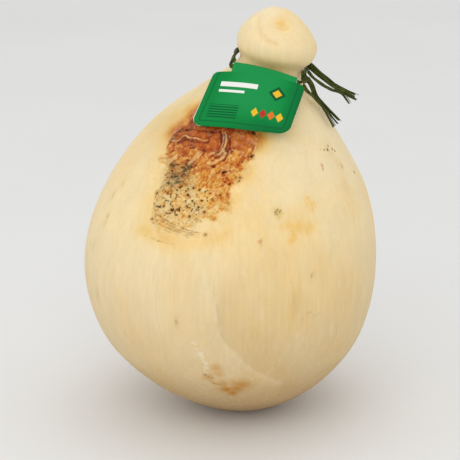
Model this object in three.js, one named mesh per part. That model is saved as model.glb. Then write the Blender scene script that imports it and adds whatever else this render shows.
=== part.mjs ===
// A caciocavallo: a pear of aged stretched curd with a small head, a folded card tag and a raffia tie.
// Millimetres, +Z up, the front faces -Y. The origin is the middle of the flat spot that it stands on.

import * as THREE from "three";
import { mergeVertices } from "three/addons/utils/BufferGeometryUtils.js";

// Cheese: radius from the spine and height along it, from the foot's rim to the crown
const FOOT_RADIUS = 15;
const CROWN_HEIGHT = 233;
const OUTLINE = [
  [FOOT_RADIUS, 0], [27, 4.7], [41, 12.4], [56, 24], [73.5, 46], [82.5, 76],
  [81.5, 106], [71.5, 136], [55, 161], [37.4, 181], [22.6, 194], [17.6, 202],
  [21.6, 209], [22, 216], [17.2, 223.7], [11.3, 229], [5.6, 232.2], [0, CROWN_HEIGHT],
];
const OUTLINE_SAMPLES = 3000;

// Spine: how far the slices stand to the right, by height, and how much the top leans over
const SPINE = [[0, 0], [-6, 55], [-5, 115], [5.5, 166], [15.4, 200], [19.7, 216], [21.5, CROWN_HEIGHT]];
const SPINE_SAMPLES = 400;
const LEAN = THREE.MathUtils.degToRad(13);
const LEAN_STARTS = 100;
const LEAN_ENDS = 205;

// Faces: rows are closest over the craggy patch and on the head, columns towards the patch's side
const COLUMNS = 72;
const COLUMN_CROWDING = 0.62;
const PATCH_TURN = THREE.MathUtils.degToRad(-24);
const ROW_STEP = { body: 10, patch: 2.4, head: 3 };

// Gentle lumps over the whole rind, from a little above the foot
const LUMP_HEIGHT = 0.5;
const LUMP_PITCH = 62;
const LUMPS_START = 22;

// Left shoulder beside the tag, flatter than the outline
const HOLLOW = { turn: -95, height: 180, radius: 15, depth: 2.5 };

// Craggy patch on the left of the front shoulder: edges as [turn from the front in degrees, height]
const PATCH_LEFT = [[-32, 123], [-40, 130], [-38, 142], [-49, 152], [-53, 162], [-60, 169], [-58, 180]];
const PATCH_RIGHT = [[-12, 123], [-2, 130], [1, 142], [3, 152], [3.5, 162], [2, 169], [0, 180]];
const PATCH_BOTTOM = 123;
const PATCH_TOP = 179;
const PATCH_FADE = 4;
const CRAG_HEIGHT = 1.5;
const CRAG_PITCH = 7;
const FLAT_PER_DEGREE = 1.05;
const FLAT_PER_HEIGHT = 1.25;

// Folds of curd in the patch: middle lines as [turn in degrees, height], half width and rise
const FOLDS = [
  { line: [[-52, 161], [-45, 161], [-43, 164], [-35, 165], [-28, 165.5]], width: 2, rise: 1.2 },
  { line: [[-50, 164], [-40, 166.5], [-30, 168], [-25, 166.5]], width: 3, rise: 0.9 },
  { line: [[-22.5, 173], [-18, 169.5], [-16.8, 164], [-19.8, 158], [-22, 156]], width: 2.2, rise: 1.6 },
  { line: [[-31, 155], [-29.8, 157.5], [-28, 160]], width: 1.8, rise: 1.1 },
  { line: [[-48.5, 153], [-44, 154.5], [-40.5, 156.5]], width: 2, rise: 0.9 },
  { line: [[-11.5, 164], [-4, 164.5], [-2, 169], [-3, 172]], width: 2, rise: 0.8 },
  { line: [[-37.5, 128.5], [-30, 127.5], [-20, 125.5], [-13, 126]], width: 1.6, rise: 0.6 },
];
const FOLD_SAMPLES = 24;

// Head: a pit in the crown and the soft crease that curls round it
const PIT = { turn: 1, height: 226.6, radius: 4.2, depth: 1.6 };
const HEAD_CREASE = {
  line: [[-90, 227.6], [-69, 226.4], [-46, 221.8], [-30, 218.3], [-15, 216.5], [-2, 216.2]],
  width: 2,
  rise: -0.9,
};

// Tag: a card lying on the shoulder, in its own frame with x across, y up the slope and z off the cheese
const TAG_CENTRE = new THREE.Vector3(4.7, -36.9, 190.6);
const TAG_TURN = THREE.MathUtils.degToRad(-20);
const TAG_SLOPE = THREE.MathUtils.degToRad(44);
const TAG_ROTATION = new THREE.Euler(TAG_SLOPE, 0, TAG_TURN, "ZXY");
const CARD = 0.5;
const TAG_LEFT = { shoulder: -25.4, bottom: -29.8 };
const TAG_RIGHT = { shoulder: 25, bottom: 23 };
const TAG_BOTTOM = -18.9;
const TAG_SWEEP = { start: -2, rise: 0.0055 };
const TAG_SHOULDER = 15.8;
const TAB_LEFT = -15.6;
const TAB_RIGHT = 20.2;
const TAB_LEVEL = 1.12;
const CORNER = { bottom: 5.5, shoulder: 3 };
const FOLD_RADIUS = 1.95;
const FOLD_LEFT = 21.4;
const FOLD_RIGHT = 18;
const BOW_START = -8;
const BOW_RADIUS = { left: 200, right: 69 };
const BACK_LEAF = { gap: 1.3, shift: -0.8, lift: 1.4 };
const TAG_COLUMNS = 9;
const CORNER_ROWS = 4;
const FOLD_ROWS = 6;

// Raffia tie: a loop through the tag's fold, then from the fold's right end round the neck to its left
const FOLD_STRETCH = [-0.06, 0.25, 0.58, 0.88, 1.02];
const NECK_STRETCH = [
  [33.8, -22.4, 197.2], [33.6, -12.2, 199], [35.6, -3.4, 198.6], [35, 7.4, 199.2], [28.4, 16.8, 200.8],
  [17, 20.6, 203.4], [4.2, 16.9, 206.8], [-2, 7.3, 208], [-3.9, -2.6, 207.3], [-5.4, -9, 205.8],
];
const LOOP_RADIUS = 1.1;
const LOOP_RINGS = 56;
const LOOP_SIDES = 8;
const KNOT = { centre: new THREE.Vector3(33.8, -20.4, 197.5), reach: 2.2, swell: 0.8 };

// Raffia ends: middle lines of the four strands, cut off bare
const STRAND = { width: 2.2, thickness: 1.4, sides: 8, steps: 9 };
const TAILS = [
  [
    [37.2, 9.6, 199.1], [39, 6.6, 198], [44, 5, 193.9],
    [50.7, 4, 188.9], [57.4, 3, 185], [64.1, 2, 181.9],
  ],
  [
    [36.7, 4.5, 196.2], [39.4, 2, 193.6], [43.9, 1, 190.2],
    [49.4, 0, 187], [55.5, -0.6, 184.7], [59.6, -0.4, 179.1],
  ],
  [[35.4, -12.2, 196.4], [37.6, -12.2, 193.1], [40.6, -11, 186], [45.9, -7, 178.8], [54, -3, 168.9]],
  [
    [33.3, -19.6, 194.1], [34.7, -18.4, 191.5], [39.2, -16.4, 186.7],
    [44.4, -13, 180], [50.4, -13.2, 169.4],
  ],
];

// Crossing waves for lumps and crags: each is turned by the golden angle and longer than the last
const GOLDEN_ANGLE = Math.PI * (3 - Math.sqrt(5));
const WAVES = 5;
const WAVE_TILT = 1.7;
const WAVE_LENGTHENING = 0.27;

const { lerp, smoothstep, radToDeg } = THREE.MathUtils;

function curveOf(points) {
  return new THREE.CatmullRomCurve3(points.map(([x, y, z = 0]) => new THREE.Vector3(x, y, z)));
}

// The value at a height along a list of [value, height]
function alongHeight(list, height) {
  const above = list.findIndex(([, level]) => level >= height);
  if (above < 0) return list.at(-1)[0];
  if (above === 0) return list[0][0];
  const [from, low] = list[above - 1];
  const [to, high] = list[above];
  return lerp(from, to, (height - low) / (high - low));
}

const spineLine = curveOf(SPINE).getPoints(SPINE_SAMPLES).map(({ x, y }) => [x, y]);

// A place on the cheese's smooth form: turn from the front, height along the spine, distance from it
function formPoint(turn, height, radius) {
  const lean = LEAN * smoothstep(height, LEAN_STARTS, LEAN_ENDS);
  const sideways = radius * Math.sin(turn);
  return new THREE.Vector3(
    alongHeight(spineLine, height) + sideways * Math.cos(lean),
    -radius * Math.cos(turn),
    height - sideways * Math.sin(lean),
  );
}

// The sum of the crossing waves at a point, between -1 and 1
function unevenness(point, pitch) {
  let sum = 0;
  for (let i = 0; i < WAVES; i++) {
    const angle = i * GOLDEN_ANGLE;
    const direction = new THREE.Vector3(Math.cos(angle), Math.sin(angle), Math.cos(WAVE_TILT * i));
    const along = point.dot(direction.normalize()) / (pitch * (1 + WAVE_LENGTHENING * i));
    sum += Math.sin(2 * Math.PI * along + i * i);
  }
  return sum / WAVES;
}

// The rind laid flat near the patch: degrees of turn and height to millimetres
function flat([turn, height]) {
  return new THREE.Vector2(turn * FLAT_PER_DEGREE, height * FLAT_PER_HEIGHT);
}

// A place on the smooth outline from [turn in degrees, height]
function outlinePoint([turn, height]) {
  return formPoint(THREE.MathUtils.degToRad(turn), height, alongHeight(OUTLINE, height));
}

const folds = FOLDS.map((fold) => {
  return { ...fold, path: new THREE.SplineCurve(fold.line.map(flat)).getSpacedPoints(FOLD_SAMPLES) };
});
const headCrease = {
  ...HEAD_CREASE,
  path: new THREE.CatmullRomCurve3(HEAD_CREASE.line.map(outlinePoint)).getSpacedPoints(FOLD_SAMPLES),
};
const pitPoint = outlinePoint([PIT.turn, PIT.height]);
const hollowPoint = outlinePoint([HOLLOW.turn, HOLLOW.height]);

// How far a round hollow sinks a point
function sinking({ depth, radius }, middle, point) {
  return depth * Math.exp(-((point.distanceTo(middle) / radius) ** 2));
}

function foldRise(fold, place) {
  const nearest = Math.min(...fold.path.map((point) => point.distanceTo(place)));
  return fold.rise * Math.exp(-((nearest / fold.width) ** 2));
}

// 1 well between two limits, 0 well outside, and a soft step over each of them
function between(value, low, high) {
  const above = smoothstep(value, low - PATCH_FADE, low + PATCH_FADE);
  return above * (1 - smoothstep(value, high - PATCH_FADE, high + PATCH_FADE));
}

// How much a place belongs to the craggy patch
function patchShare(turn, height) {
  const sides = between(turn, alongHeight(PATCH_LEFT, height), alongHeight(PATCH_RIGHT, height));
  return sides * between(height, PATCH_BOTTOM, PATCH_TOP);
}

// How far the rind stands off the smooth form
function relief(turn, height, point) {
  const degrees = radToDeg(turn);
  const place = flat([degrees, height]);
  let rise = LUMP_HEIGHT * unevenness(point, LUMP_PITCH) * smoothstep(height, 0, LUMPS_START);
  rise -= sinking(HOLLOW, hollowPoint, point);
  const share = patchShare(degrees, height);
  if (share > 0) {
    rise += share * CRAG_HEIGHT * Math.abs(unevenness(point, CRAG_PITCH));
    rise += share * folds.reduce((sum, fold) => sum + foldRise(fold, place), 0);
  }
  if (height > LEAN_ENDS) {
    rise += foldRise(headCrease, point);
    rise -= sinking(PIT, pitPoint, point);
  }
  return rise;
}

function rowStep(height) {
  if (height < PATCH_BOTTOM - PATCH_FADE) return ROW_STEP.body;
  return height < PATCH_TOP + PATCH_FADE ? ROW_STEP.patch : ROW_STEP.head;
}

// The outline's rows, from the middle of the foot to the crown
function outlineRows() {
  const fine = curveOf(OUTLINE).getSpacedPoints(OUTLINE_SAMPLES);
  const rows = [new THREE.Vector2(0, 0), new THREE.Vector2(FOOT_RADIUS, 0)];
  for (const { x, y } of fine) {
    const point = new THREE.Vector2(x, y);
    if (point.distanceTo(rows.at(-1)) >= rowStep(y)) rows.push(point);
  }
  rows.pop();
  rows.push(new THREE.Vector2(0, CROWN_HEIGHT));
  return rows;
}

function bareGeometry(geometry) {
  geometry.deleteAttribute("normal");
  geometry.deleteAttribute("uv");
  return mergeVertices(geometry);
}

// Moves each vertex of a geometry to where place() says
function reshaped(geometry, place) {
  const position = geometry.attributes.position;
  const point = new THREE.Vector3();
  for (let i = 0; i < position.count; i++) {
    const { x, y, z } = place(point.fromBufferAttribute(position, i), i);
    position.setXYZ(i, x, y, z);
  }
  return geometry;
}

function cheeseGeometry() {
  const geometry = bareGeometry(new THREE.LatheGeometry(outlineRows(), COLUMNS).rotateX(Math.PI / 2));
  const places = [];
  reshaped(geometry, ({ x, y, z }) => {
    const even = Math.atan2(x, -y) - PATCH_TURN;
    const turn = PATCH_TURN + even - COLUMN_CROWDING * Math.sin(even);
    places.push({ turn: Math.atan2(Math.sin(turn), Math.cos(turn)), height: z });
    return formPoint(turn, z, Math.hypot(x, y));
  });
  geometry.computeVertexNormals();
  const normal = geometry.attributes.normal;
  return reshaped(geometry, (point, i) => {
    const out = new THREE.Vector3().fromBufferAttribute(normal, i);
    const { turn, height } = places[i];
    return point.clone().addScaledVector(out, height > 0 ? relief(turn, height, point) : 0);
  });
}

// How far the card bows back towards the cheese
function tagBow(x) {
  const radius = x > BOW_START ? BOW_RADIUS.right : BOW_RADIUS.left;
  return (x - BOW_START) ** 2 / (2 * radius);
}

// How far a rounded corner of the card draws its side in, at a distance from the corner's edge
function cornerInset(distance, radius) {
  const short = Math.max(radius - distance, 0);
  return radius - Math.sqrt(radius ** 2 - short ** 2);
}

// Lines across the card from the front's bottom edge over the fold to the back's: level 0 is the
// bottom edge, 1 the shoulder and 2 the fold, and angle turns from the front leaf to the back one
function tagLines() {
  const height = TAG_SHOULDER - TAG_BOTTOM;
  const body = [];
  for (let i = 0; i <= CORNER_ROWS; i++) {
    body.push(CORNER.bottom * (1 - Math.cos((i / CORNER_ROWS) * (Math.PI / 2))));
  }
  body.push(height / 2);
  for (let i = CORNER_ROWS - 1; i >= 0; i--) {
    body.push(height - CORNER.shoulder * (1 - Math.cos((i / (CORNER_ROWS - 1)) * (Math.PI / 2))));
  }
  const leaf = body.map((rise) => {
    const inset = cornerInset(rise, CORNER.bottom) + cornerInset(height - rise, CORNER.shoulder);
    const share = rise / height;
    return {
      level: share,
      left: lerp(TAG_LEFT.bottom, TAG_LEFT.shoulder, share) + inset,
      right: lerp(TAG_RIGHT.bottom, TAG_RIGHT.shoulder, share) - inset,
    };
  });
  leaf.push({ level: TAB_LEVEL, left: TAB_LEFT, right: TAB_RIGHT });
  const front = leaf.map((line) => ({ ...line, angle: 0 }));
  const fold = [];
  for (let i = 0; i <= FOLD_ROWS; i++) {
    fold.push({ level: 2, left: TAB_LEFT, right: TAB_RIGHT, angle: (Math.PI * i) / FOLD_ROWS });
  }
  const back = leaf.reverse().map((line) => ({ ...line, angle: Math.PI }));
  return [...front, ...fold, ...back];
}

// The middle of the card at a share of the way across one of its lines
function tagMiddle({ level, left, right, angle }, across) {
  const x = lerp(left, right, across);
  const turned = (1 - Math.cos(angle)) / 2;
  const sweep = TAG_SWEEP.rise * Math.max(x - TAG_SWEEP.start, 0) ** 2;
  const bottom = TAG_BOTTOM + sweep + BACK_LEAF.lift * turned;
  const fold = lerp(FOLD_LEFT, FOLD_RIGHT, (x - TAB_LEFT) / (TAB_RIGHT - TAB_LEFT));
  const y = level <= 1 ? lerp(bottom, TAG_SHOULDER, level) : lerp(TAG_SHOULDER, fold, level - 1);
  const leafGap = lerp(BACK_LEAF.gap, 2 * FOLD_RADIUS, level / 2);
  return new THREE.Vector3(
    x + BACK_LEAF.shift * turned,
    y + FOLD_RADIUS * Math.sin(angle),
    -tagBow(x) - leafGap * turned,
  );
}

function tagGeometry() {
  const lines = tagLines();
  const rows = lines.length - 1;
  const geometry = bareGeometry(new THREE.BoxGeometry(1, 1, 1, TAG_COLUMNS, rows, 1));
  return reshaped(geometry, ({ x, y, z }) => {
    const line = lines[Math.round((y + 0.5) * rows)];
    const outward = new THREE.Vector3(0, Math.sin(line.angle), Math.cos(line.angle));
    return tagMiddle(line, x + 0.5).addScaledVector(outward, z * CARD);
  });
}

// The middle of the tag's fold, at a share of the way across
function foldMiddle(across) {
  const x = lerp(TAB_LEFT, TAB_RIGHT, across);
  const middle = new THREE.Vector3(x, lerp(FOLD_LEFT, FOLD_RIGHT, across), -tagBow(x) - FOLD_RADIUS);
  return middle.applyEuler(TAG_ROTATION).add(TAG_CENTRE);
}

// A closed tube along the loop, thicker at the knot
function loopGeometry() {
  const neck = NECK_STRETCH.map((point) => new THREE.Vector3(...point));
  const curve = new THREE.CatmullRomCurve3([...FOLD_STRETCH.map(foldMiddle), ...neck], true);
  const points = curve.getSpacedPoints(LOOP_RINGS);
  const { normals, binormals } = curve.computeFrenetFrames(LOOP_RINGS, true);
  const ringSize = curve.getLength() / (2 * Math.PI);
  const geometry = new THREE.TorusGeometry(ringSize, LOOP_RADIUS, LOOP_SIDES, LOOP_RINGS);
  reshaped(geometry, (point, i) => {
    const ring = (i % (LOOP_RINGS + 1)) % LOOP_RINGS;
    const side = (2 * Math.PI * Math.floor(i / (LOOP_RINGS + 1))) / LOOP_SIDES;
    const nearness = Math.exp(-((points[ring].distanceTo(KNOT.centre) / KNOT.reach) ** 2));
    const radius = LOOP_RADIUS + KNOT.swell * nearness;
    return points[ring]
      .clone()
      .addScaledVector(normals[ring], radius * Math.cos(side))
      .addScaledVector(binormals[ring], -radius * Math.sin(side));
  });
  return bareGeometry(geometry);
}

function tailGeometry(route) {
  const section = new THREE.Shape();
  section.absellipse(0, 0, STRAND.width / 2, STRAND.thickness / 2, 0, 2 * Math.PI);
  return new THREE.ExtrudeGeometry(section, {
    steps: STRAND.steps,
    curveSegments: STRAND.sides / 2,
    bevelEnabled: false,
    extrudePath: curveOf(route),
  });
}

function rindMaterial() {
  return new THREE.MeshStandardMaterial({ color: 0xe9d0a0, roughness: 0.6, metalness: 0 });
}

function cardMaterial() {
  return new THREE.MeshStandardMaterial({ color: 0x168f43, roughness: 0.45, metalness: 0 });
}

function raffiaMaterial() {
  return new THREE.MeshStandardMaterial({ color: 0x4a5a2c, roughness: 0.75, metalness: 0 });
}

function named(name, geometry, material) {
  const mesh = new THREE.Mesh(geometry, material);
  mesh.name = name;
  return mesh;
}

function tagMesh() {
  const tag = named("tag", tagGeometry(), cardMaterial());
  tag.position.copy(TAG_CENTRE);
  tag.rotation.copy(TAG_ROTATION);
  return tag;
}

const caciocavallo = new THREE.Group();
caciocavallo.add(named("cheese", cheeseGeometry(), rindMaterial()));
caciocavallo.add(tagMesh());
caciocavallo.add(named("raffia_loop", loopGeometry(), raffiaMaterial()));
TAILS.forEach((route, i) => {
  caciocavallo.add(named(`raffia_tail_${i + 1}`, tailGeometry(route), raffiaMaterial()));
});

export default caciocavallo;
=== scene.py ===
"""A caciocavallo with its browned patch, folded card tag and raffia tie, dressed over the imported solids."""
import math
from itertools import product

import bmesh
import bpy
import numpy as np
from mathutils import Matrix


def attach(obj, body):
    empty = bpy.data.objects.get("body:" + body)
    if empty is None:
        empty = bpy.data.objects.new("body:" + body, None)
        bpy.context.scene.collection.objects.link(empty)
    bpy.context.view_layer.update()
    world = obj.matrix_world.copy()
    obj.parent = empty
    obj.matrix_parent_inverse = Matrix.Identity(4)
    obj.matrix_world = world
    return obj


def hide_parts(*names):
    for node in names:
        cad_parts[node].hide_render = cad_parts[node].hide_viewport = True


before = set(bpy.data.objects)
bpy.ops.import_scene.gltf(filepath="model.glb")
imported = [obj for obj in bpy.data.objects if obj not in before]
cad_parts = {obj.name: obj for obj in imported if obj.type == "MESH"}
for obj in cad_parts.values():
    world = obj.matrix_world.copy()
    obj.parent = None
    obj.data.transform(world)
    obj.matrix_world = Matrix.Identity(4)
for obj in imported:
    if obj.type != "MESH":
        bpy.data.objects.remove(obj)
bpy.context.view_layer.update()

# Sizes are in millimetres and the scene is in metres
MM = 0.001

# Camera: its height over the horizon, and the width that its frame takes in at the cheese
VIEW_ELEVATION = math.radians(18)
VIEW_DISTANCE = 1000
VIEW_WIDTH = 262.2
VIEW_TARGET = (-6.7, 0, 105)
SENSOR = 36

# Cheese: radius from the spine and height along it, and how far the spine stands to the right
FOOT_RADIUS = 15
CROWN_HEIGHT = 233
OUTLINE = [
    (FOOT_RADIUS, 0), (27, 4.7), (41, 12.4), (56, 24), (73.5, 46), (82.5, 76),
    (81.5, 106), (71.5, 136), (55, 161), (37.4, 181), (22.6, 194), (17.6, 202),
    (21.6, 209), (22, 216), (17.2, 223.7), (11.3, 229), (5.6, 232.2), (0, CROWN_HEIGHT),
]
SPINE = [(0, 0), (-6, 55), (-5, 115), (5.5, 166), (15.4, 200), (19.7, 216), (21.5, CROWN_HEIGHT)]
LEAN = math.radians(13)
LEAN_STARTS = 100
LEAN_ENDS = 205
SPLINE_STEPS = 60

# Faces: an even grid, split where the rind is marked and once more in the patch
COLUMNS = 180
BODY_STEP = 2.4
HEAD_STEP = 1.3
NECK_HEIGHT = 186
FOOT_RINGS = (4, 8, 12)
MARK_CUTS = 3
MARK_MARGIN = 2.5
PATCH_CUTS = 1
PATCH_MARGIN = 2

# Gentle lumps over the rind, the flatter left shoulder and the crags of the patch
LUMP_HEIGHT = 0.5
LUMP_PITCH = 62
LUMPS_START = 22
HOLLOW = (-95, 180)
HOLLOW_RADIUS = 15
HOLLOW_DEPTH = 2.5
CRAG_HEIGHT = 1.5
CRAG_PITCH = 7
WAVES = 5
WAVE_TILT = 1.7
WAVE_LENGTHENING = 0.27
GOLDEN_ANGLE = math.pi * (3 - math.sqrt(5))

# Where the crags reach, as in the solid: limits of turn from the front in degrees, by height
CRAGS_LEFT = [(-32, 123), (-40, 130), (-38, 142), (-49, 152), (-53, 162), (-60, 169), (-58, 180)]
CRAGS_RIGHT = [(-12, 123), (-2, 130), (1, 142), (3, 152), (3.5, 162), (2, 169), (0, 180)]
CRAGS_BOTTOM = 123
CRAGS_TOP = 179
CRAGS_FADE = 4

# The rind laid flat near the patch: millimetres to a degree of turn and to a millimetre of height
FLAT = np.array([1.05, 1.25])

# Crumbs of the patch run aslant, longer than wide: how the flat rind maps to across and along them
STROKE_SLANT = math.radians(62)
STROKE_LENGTH = 1.5
STROKES = np.array([
    [math.sin(STROKE_SLANT), math.cos(STROKE_SLANT) / STROKE_LENGTH],
    [-math.cos(STROKE_SLANT), math.sin(STROKE_SLANT) / STROKE_LENGTH],
])

# Zones of the patch, from pale to dark, as [turn in degrees, height]
HALO = [
    (-66, 180), (-60, 160), (-50, 140), (-45, 128), (-43, 119), (-26, 117.5), (-9, 119), (-1, 126),
    (2, 136), (2, 148), (5, 160), (8, 172), (4, 184), (-40, 187),
]
PATCH_RIGHT = [
    (-5, 137.3), (-5.8, 144.4), (-6.2, 148.6), (-4.5, 151.1), (-3, 154.3), (-1.5, 158.3), (0.5, 162.1),
    (1.2, 166.4), (1, 170.9), (-1, 182), (-30, 185),
]
PATCH = [
    (-52, 177), (-53.5, 167), (-54.5, 163.5), (-52.5, 160.5), (-50, 158.5), (-49, 154.5), (-46, 151.8),
    (-41.5, 151.5), (-40.5, 148), (-40, 143.5), (-41, 139.5), (-39, 134.5), (-37, 129), (-31, 127),
    (-23, 126), (-18.5, 127.5), (-15.5, 130.5), (-13, 133), (-8.5, 132.8), (-9.5, 136), *PATCH_RIGHT,
]
ORANGE = [
    (-54, 177), (-54, 161), (-52.5, 158.8), (-50, 156.6), (-46, 154.6), (-41, 153.4), (-36, 153), (-31, 152),
    (-27, 150.5), (-24, 148), (-22, 145), (-20, 141), (-15, 138.5), (-12, 134), (-8.5, 132.8), *PATCH_RIGHT,
]
RED = [
    (-49, 178), (-49.5, 169), (-53, 164), (-52.5, 161), (-47, 159.5), (-42, 161), (-36, 161.5), (-30, 160.5),
    (-23, 160.5), (-19, 160), (-16, 161), (-13, 163), (-11, 165), (-4, 164.5), (-1, 166.5), (-1.5, 173),
    (-1, 182), (-30, 185),
]
HALO_STRIP = [(-42, 122), (-34, 121), (-24, 120.5), (-12, 121.5), (-5, 125)]
HALO_STRIP_WIDTH = 4.5
HALO_FADE = (-5, 8)
HALO_RAGGEDNESS = 2
ORANGE_STRIP = [(-6.8, 145), (-6, 141), (-6, 137.8)]
STRIP_WIDTH = 1.7
OCHRE_HEIGHTS = (135, 158)

# Soft spots of tone in the patch and beside it: turn, height, size and strength
GLOWS = [
    (-58, 167, 10, 0.92), (-58, 175, 10.5, 0.92), (6, 171.5, 8, 0.92), (-1, 156, 8, 0.32), (-3, 143, 8, 0.24),
]
GLOW_REACH = 6
GLOW_RAGGEDNESS = 0.8
EMBERS = [(-46, 158.3, 4.5, 0.14), (-38, 158.5, 5, 0.14), (-6, 159, 6, 0.1), (-12, 153, 6, 0.06)]
WARMTH = [(9, 100, 32, 0.06), (-61, 170, 10, 0.14), (-60.5, 174.5, 5.5, 0.28)]
WAN_EDGE = [(-82, 186, 12, 0.5), (-74, 176, 8, 0.45), (-78, 168, 9, 0.3)]
TAN_FIELDS = [(-64, 164, 18, 0.22), (7, 92, 34, 0.1)]

# Edges of the zones are soft, that of the patch more so on its right below the top and at its foot
PATCH_SOFTNESS = (0.8, 2.2)
SOFT_TURNS = (-16, -7)
SOFT_TOP = (158, 164)
SOFT_FOOT = (127, 137)
ORANGE_SOFTNESS = 3
RED_SOFTNESS = 1.3

# The red is smoother than the rest and fades to the right, and the wan part is uneven
RED_SMOOTHNESS = 0.75
RED_FADE = 0.4
RED_FADE_TURNS = (-20, -9)
WAN_STRENGTH = 0.8
WAN_HEIGHTS = (124, 135)
WAN_RAGGEDNESS = 0.5
WAN_LIMITS = (-0.7, 0.6)

# Crumbs and grit of the patch: how far they stand up, and their paleness and darkness
CRUMB_RISE = 0.5
CRUMB_LEVEL = 0.4
CRUMB_TONE = 0.45
GRIT_RISE = 0.5
FINE_GRIT_RISE = 0.15
GRIT_IN_RED = 0.45
VEIN_WIDTH = 0.05
PALE_CRUMBS = 0.55
PALE_CRUMBS_IN_RED = 0.8
PALE_CRUMB_LIMITS = (0.8, 1.15)

# Folds of curd in the patch, as in the solid: middle line, half width and rise
FOLDS = [
    ([(-52, 161), (-45, 161), (-43, 164), (-35, 165), (-28, 165.5)], 1.6, 1.1),
    ([(-50, 164), (-40, 166.5), (-30, 168), (-25, 166.5)], 3, 0.9),
    ([(-22.5, 173), (-18, 169.5), (-16.8, 164), (-19.8, 158), (-22, 156)], 1.7, 1.3),
    ([(-31, 155), (-29.8, 157.5), (-28, 160)], 1.8, 1.1),
    ([(-48.5, 153), (-44, 154.5), (-40.5, 156.5)], 2, 0.9),
    ([(-11.5, 164), (-4, 164.5), (-2, 169), (-3, 172)], 2, 0.8),
    ([(-37.5, 128.5), (-30, 127.5), (-20, 125.5), (-13, 126)], 1.6, 0.6),
]

# Pale crests on the folds, partly worn crust and partly painted highlight: line, half width and how pale
LIP = [
    (-47.8, 160.6), (-44.8, 162.2), (-44.2, 163.8), (-42.6, 164.6), (-39.2, 164.5), (-34.5, 165.2),
    (-30.5, 165.2), (-27.8, 165.7),
]
CRESTS = [
    (LIP, 0.43, 0.9),
    ([(-46.8, 160.6), (-49, 160.6), (-50.5, 161.4), (-50.2, 162.4)], 0.4, 0.7),
    (
        [(-19.8, 170.5), (-17.8, 168.8), (-16.8, 166.7), (-16.5, 164.6), (-17.5, 162.4), (-18.5, 161)],
        0.48, 0.85,
    ),
    ([(-21.6, 170.6), (-19.6, 168.4), (-18.4, 166), (-18.2, 164)], 0.38, 0.6),
    ([(-16, 163.2), (-17.2, 161.7), (-19.2, 160.6)], 0.7, 0.8),
    ([(-14.8, 162.4), (-15.5, 160.6), (-17, 159.1), (-18.8, 157.6), (-21.4, 156.7)], 0.75, 0.95),
    ([(-23.2, 160.2), (-22.2, 161), (-20.5, 161.4)], 0.65, 0.65),
    ([(-28.8, 159.8), (-29.5, 158.3), (-30.5, 156.7), (-31.2, 155.1)], 1.25, 0.8),
    ([(-27.2, 159.8), (-28.8, 157.5), (-29.8, 155.9), (-31.5, 154.7)], 0.32, 0.95),
    ([(-50.2, 153.3), (-48, 154.3), (-45.8, 154.3)], 0.6, 1),
    ([(-48.6, 152.4), (-45, 152.6), (-43, 153.5), (-42, 154.7)], 0.6, 1),
    ([(-40.5, 156.5), (-40.2, 155.1), (-41, 153.9), (-43, 152)], 0.55, 0.95),
    ([(-12, 164.6), (-9.5, 164.2), (-7, 164.6), (-4.8, 164.2), (-4.8, 162.8)], 0.32, 0.5),
    ([(-0.2, 171.5), (1, 169.5), (1, 166.7), (0.5, 164.9)], 0.4, 0.35),
    ([(-39.5, 160.2), (-37, 161.4), (-34.5, 161.6)], 0.4, 0.4),
    ([(-36, 128.9), (-31, 127.7), (-26, 126.4), (-20, 125.6), (-15.5, 125.3)], 0.5, 0.7),
]
CREST_RISE = 0.4
CREST_SPREAD = 1.4
# Painted shade in a band along both sides of each pale crest: its distance out, width and strength
CREST_EDGE = 1.9
CREST_EDGE_WIDTH = 0.7
CREST_EDGE_SHADE = 0.3
# Grooves: sunken lines painted darker, partly as shade in their hollows; the one under the lip is its painted
# shadow
GROOVES = [
    [(-52.2, 161.7), (-52.2, 163.2), (-50.5, 164.9), (-47.8, 166), (-45.5, 167.8)],
    [(-45.5, 167.8), (-39.5, 168.6), (-32.2, 169.5), (-25.5, 170.4)],
    [(-24.2, 170.9), (-22.2, 169.8), (-20.8, 168.1), (-19.8, 166), (-19.8, 164.2), (-20, 162.1)],
    [(-17.2, 169.8), (-15, 168.1), (-14.2, 166.4), (-14.2, 164.2)],
    [(-46.2, 159.8), (-43.5, 161.2), (-41.8, 163.1), (-37.8, 163.6), (-34, 163.9), (-27.8, 164.6)],
    [(-30.5, 159.8), (-31.5, 157.9), (-32.5, 155.9), (-32.5, 154.7)],
    [(-21.8, 155.8), (-19.5, 155.9), (-17.5, 156.9), (-16, 158.1), (-14.2, 160.4), (-13.5, 162.4)],
]
GROOVE_WIDTH = 0.5
GROOVE_DEPTH = 0.45
GROOVE_SHADE = 0.3
CRACKS = [
    [(-37.8, 128.3), (-34.5, 128.8), (-29.5, 127.3), (-24.8, 125.9), (-19.8, 124.9), (-16.2, 125.4)],
    [(-34.2, 130.8), (-29.8, 129.3), (-24.8, 127.8), (-21.2, 127.3), (-16.5, 126.4), (-12.8, 125.9)],
    [(-33.2, 127.3), (-29.8, 126.4), (-26.8, 125.9), (-23.8, 125.4)],
    [(-36.8, 127.4), (-33.4, 126.8), (-29, 125.2), (-24.4, 124.4), (-19, 123.8)],
    [(-30, 128.4), (-26.4, 127.2), (-22.4, 126.2), (-17.6, 125.8)],
    [(-38, 120.6), (-31, 119.8), (-24, 119.4)],
]
CRACK_WIDTH = 0.3
CRACK_DEPTH = 0.2
CRACK_DARKNESS = 0.6
GAP_LIMITS = (-0.6, 0.3)
GAP_STRENGTH = 0.45

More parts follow.
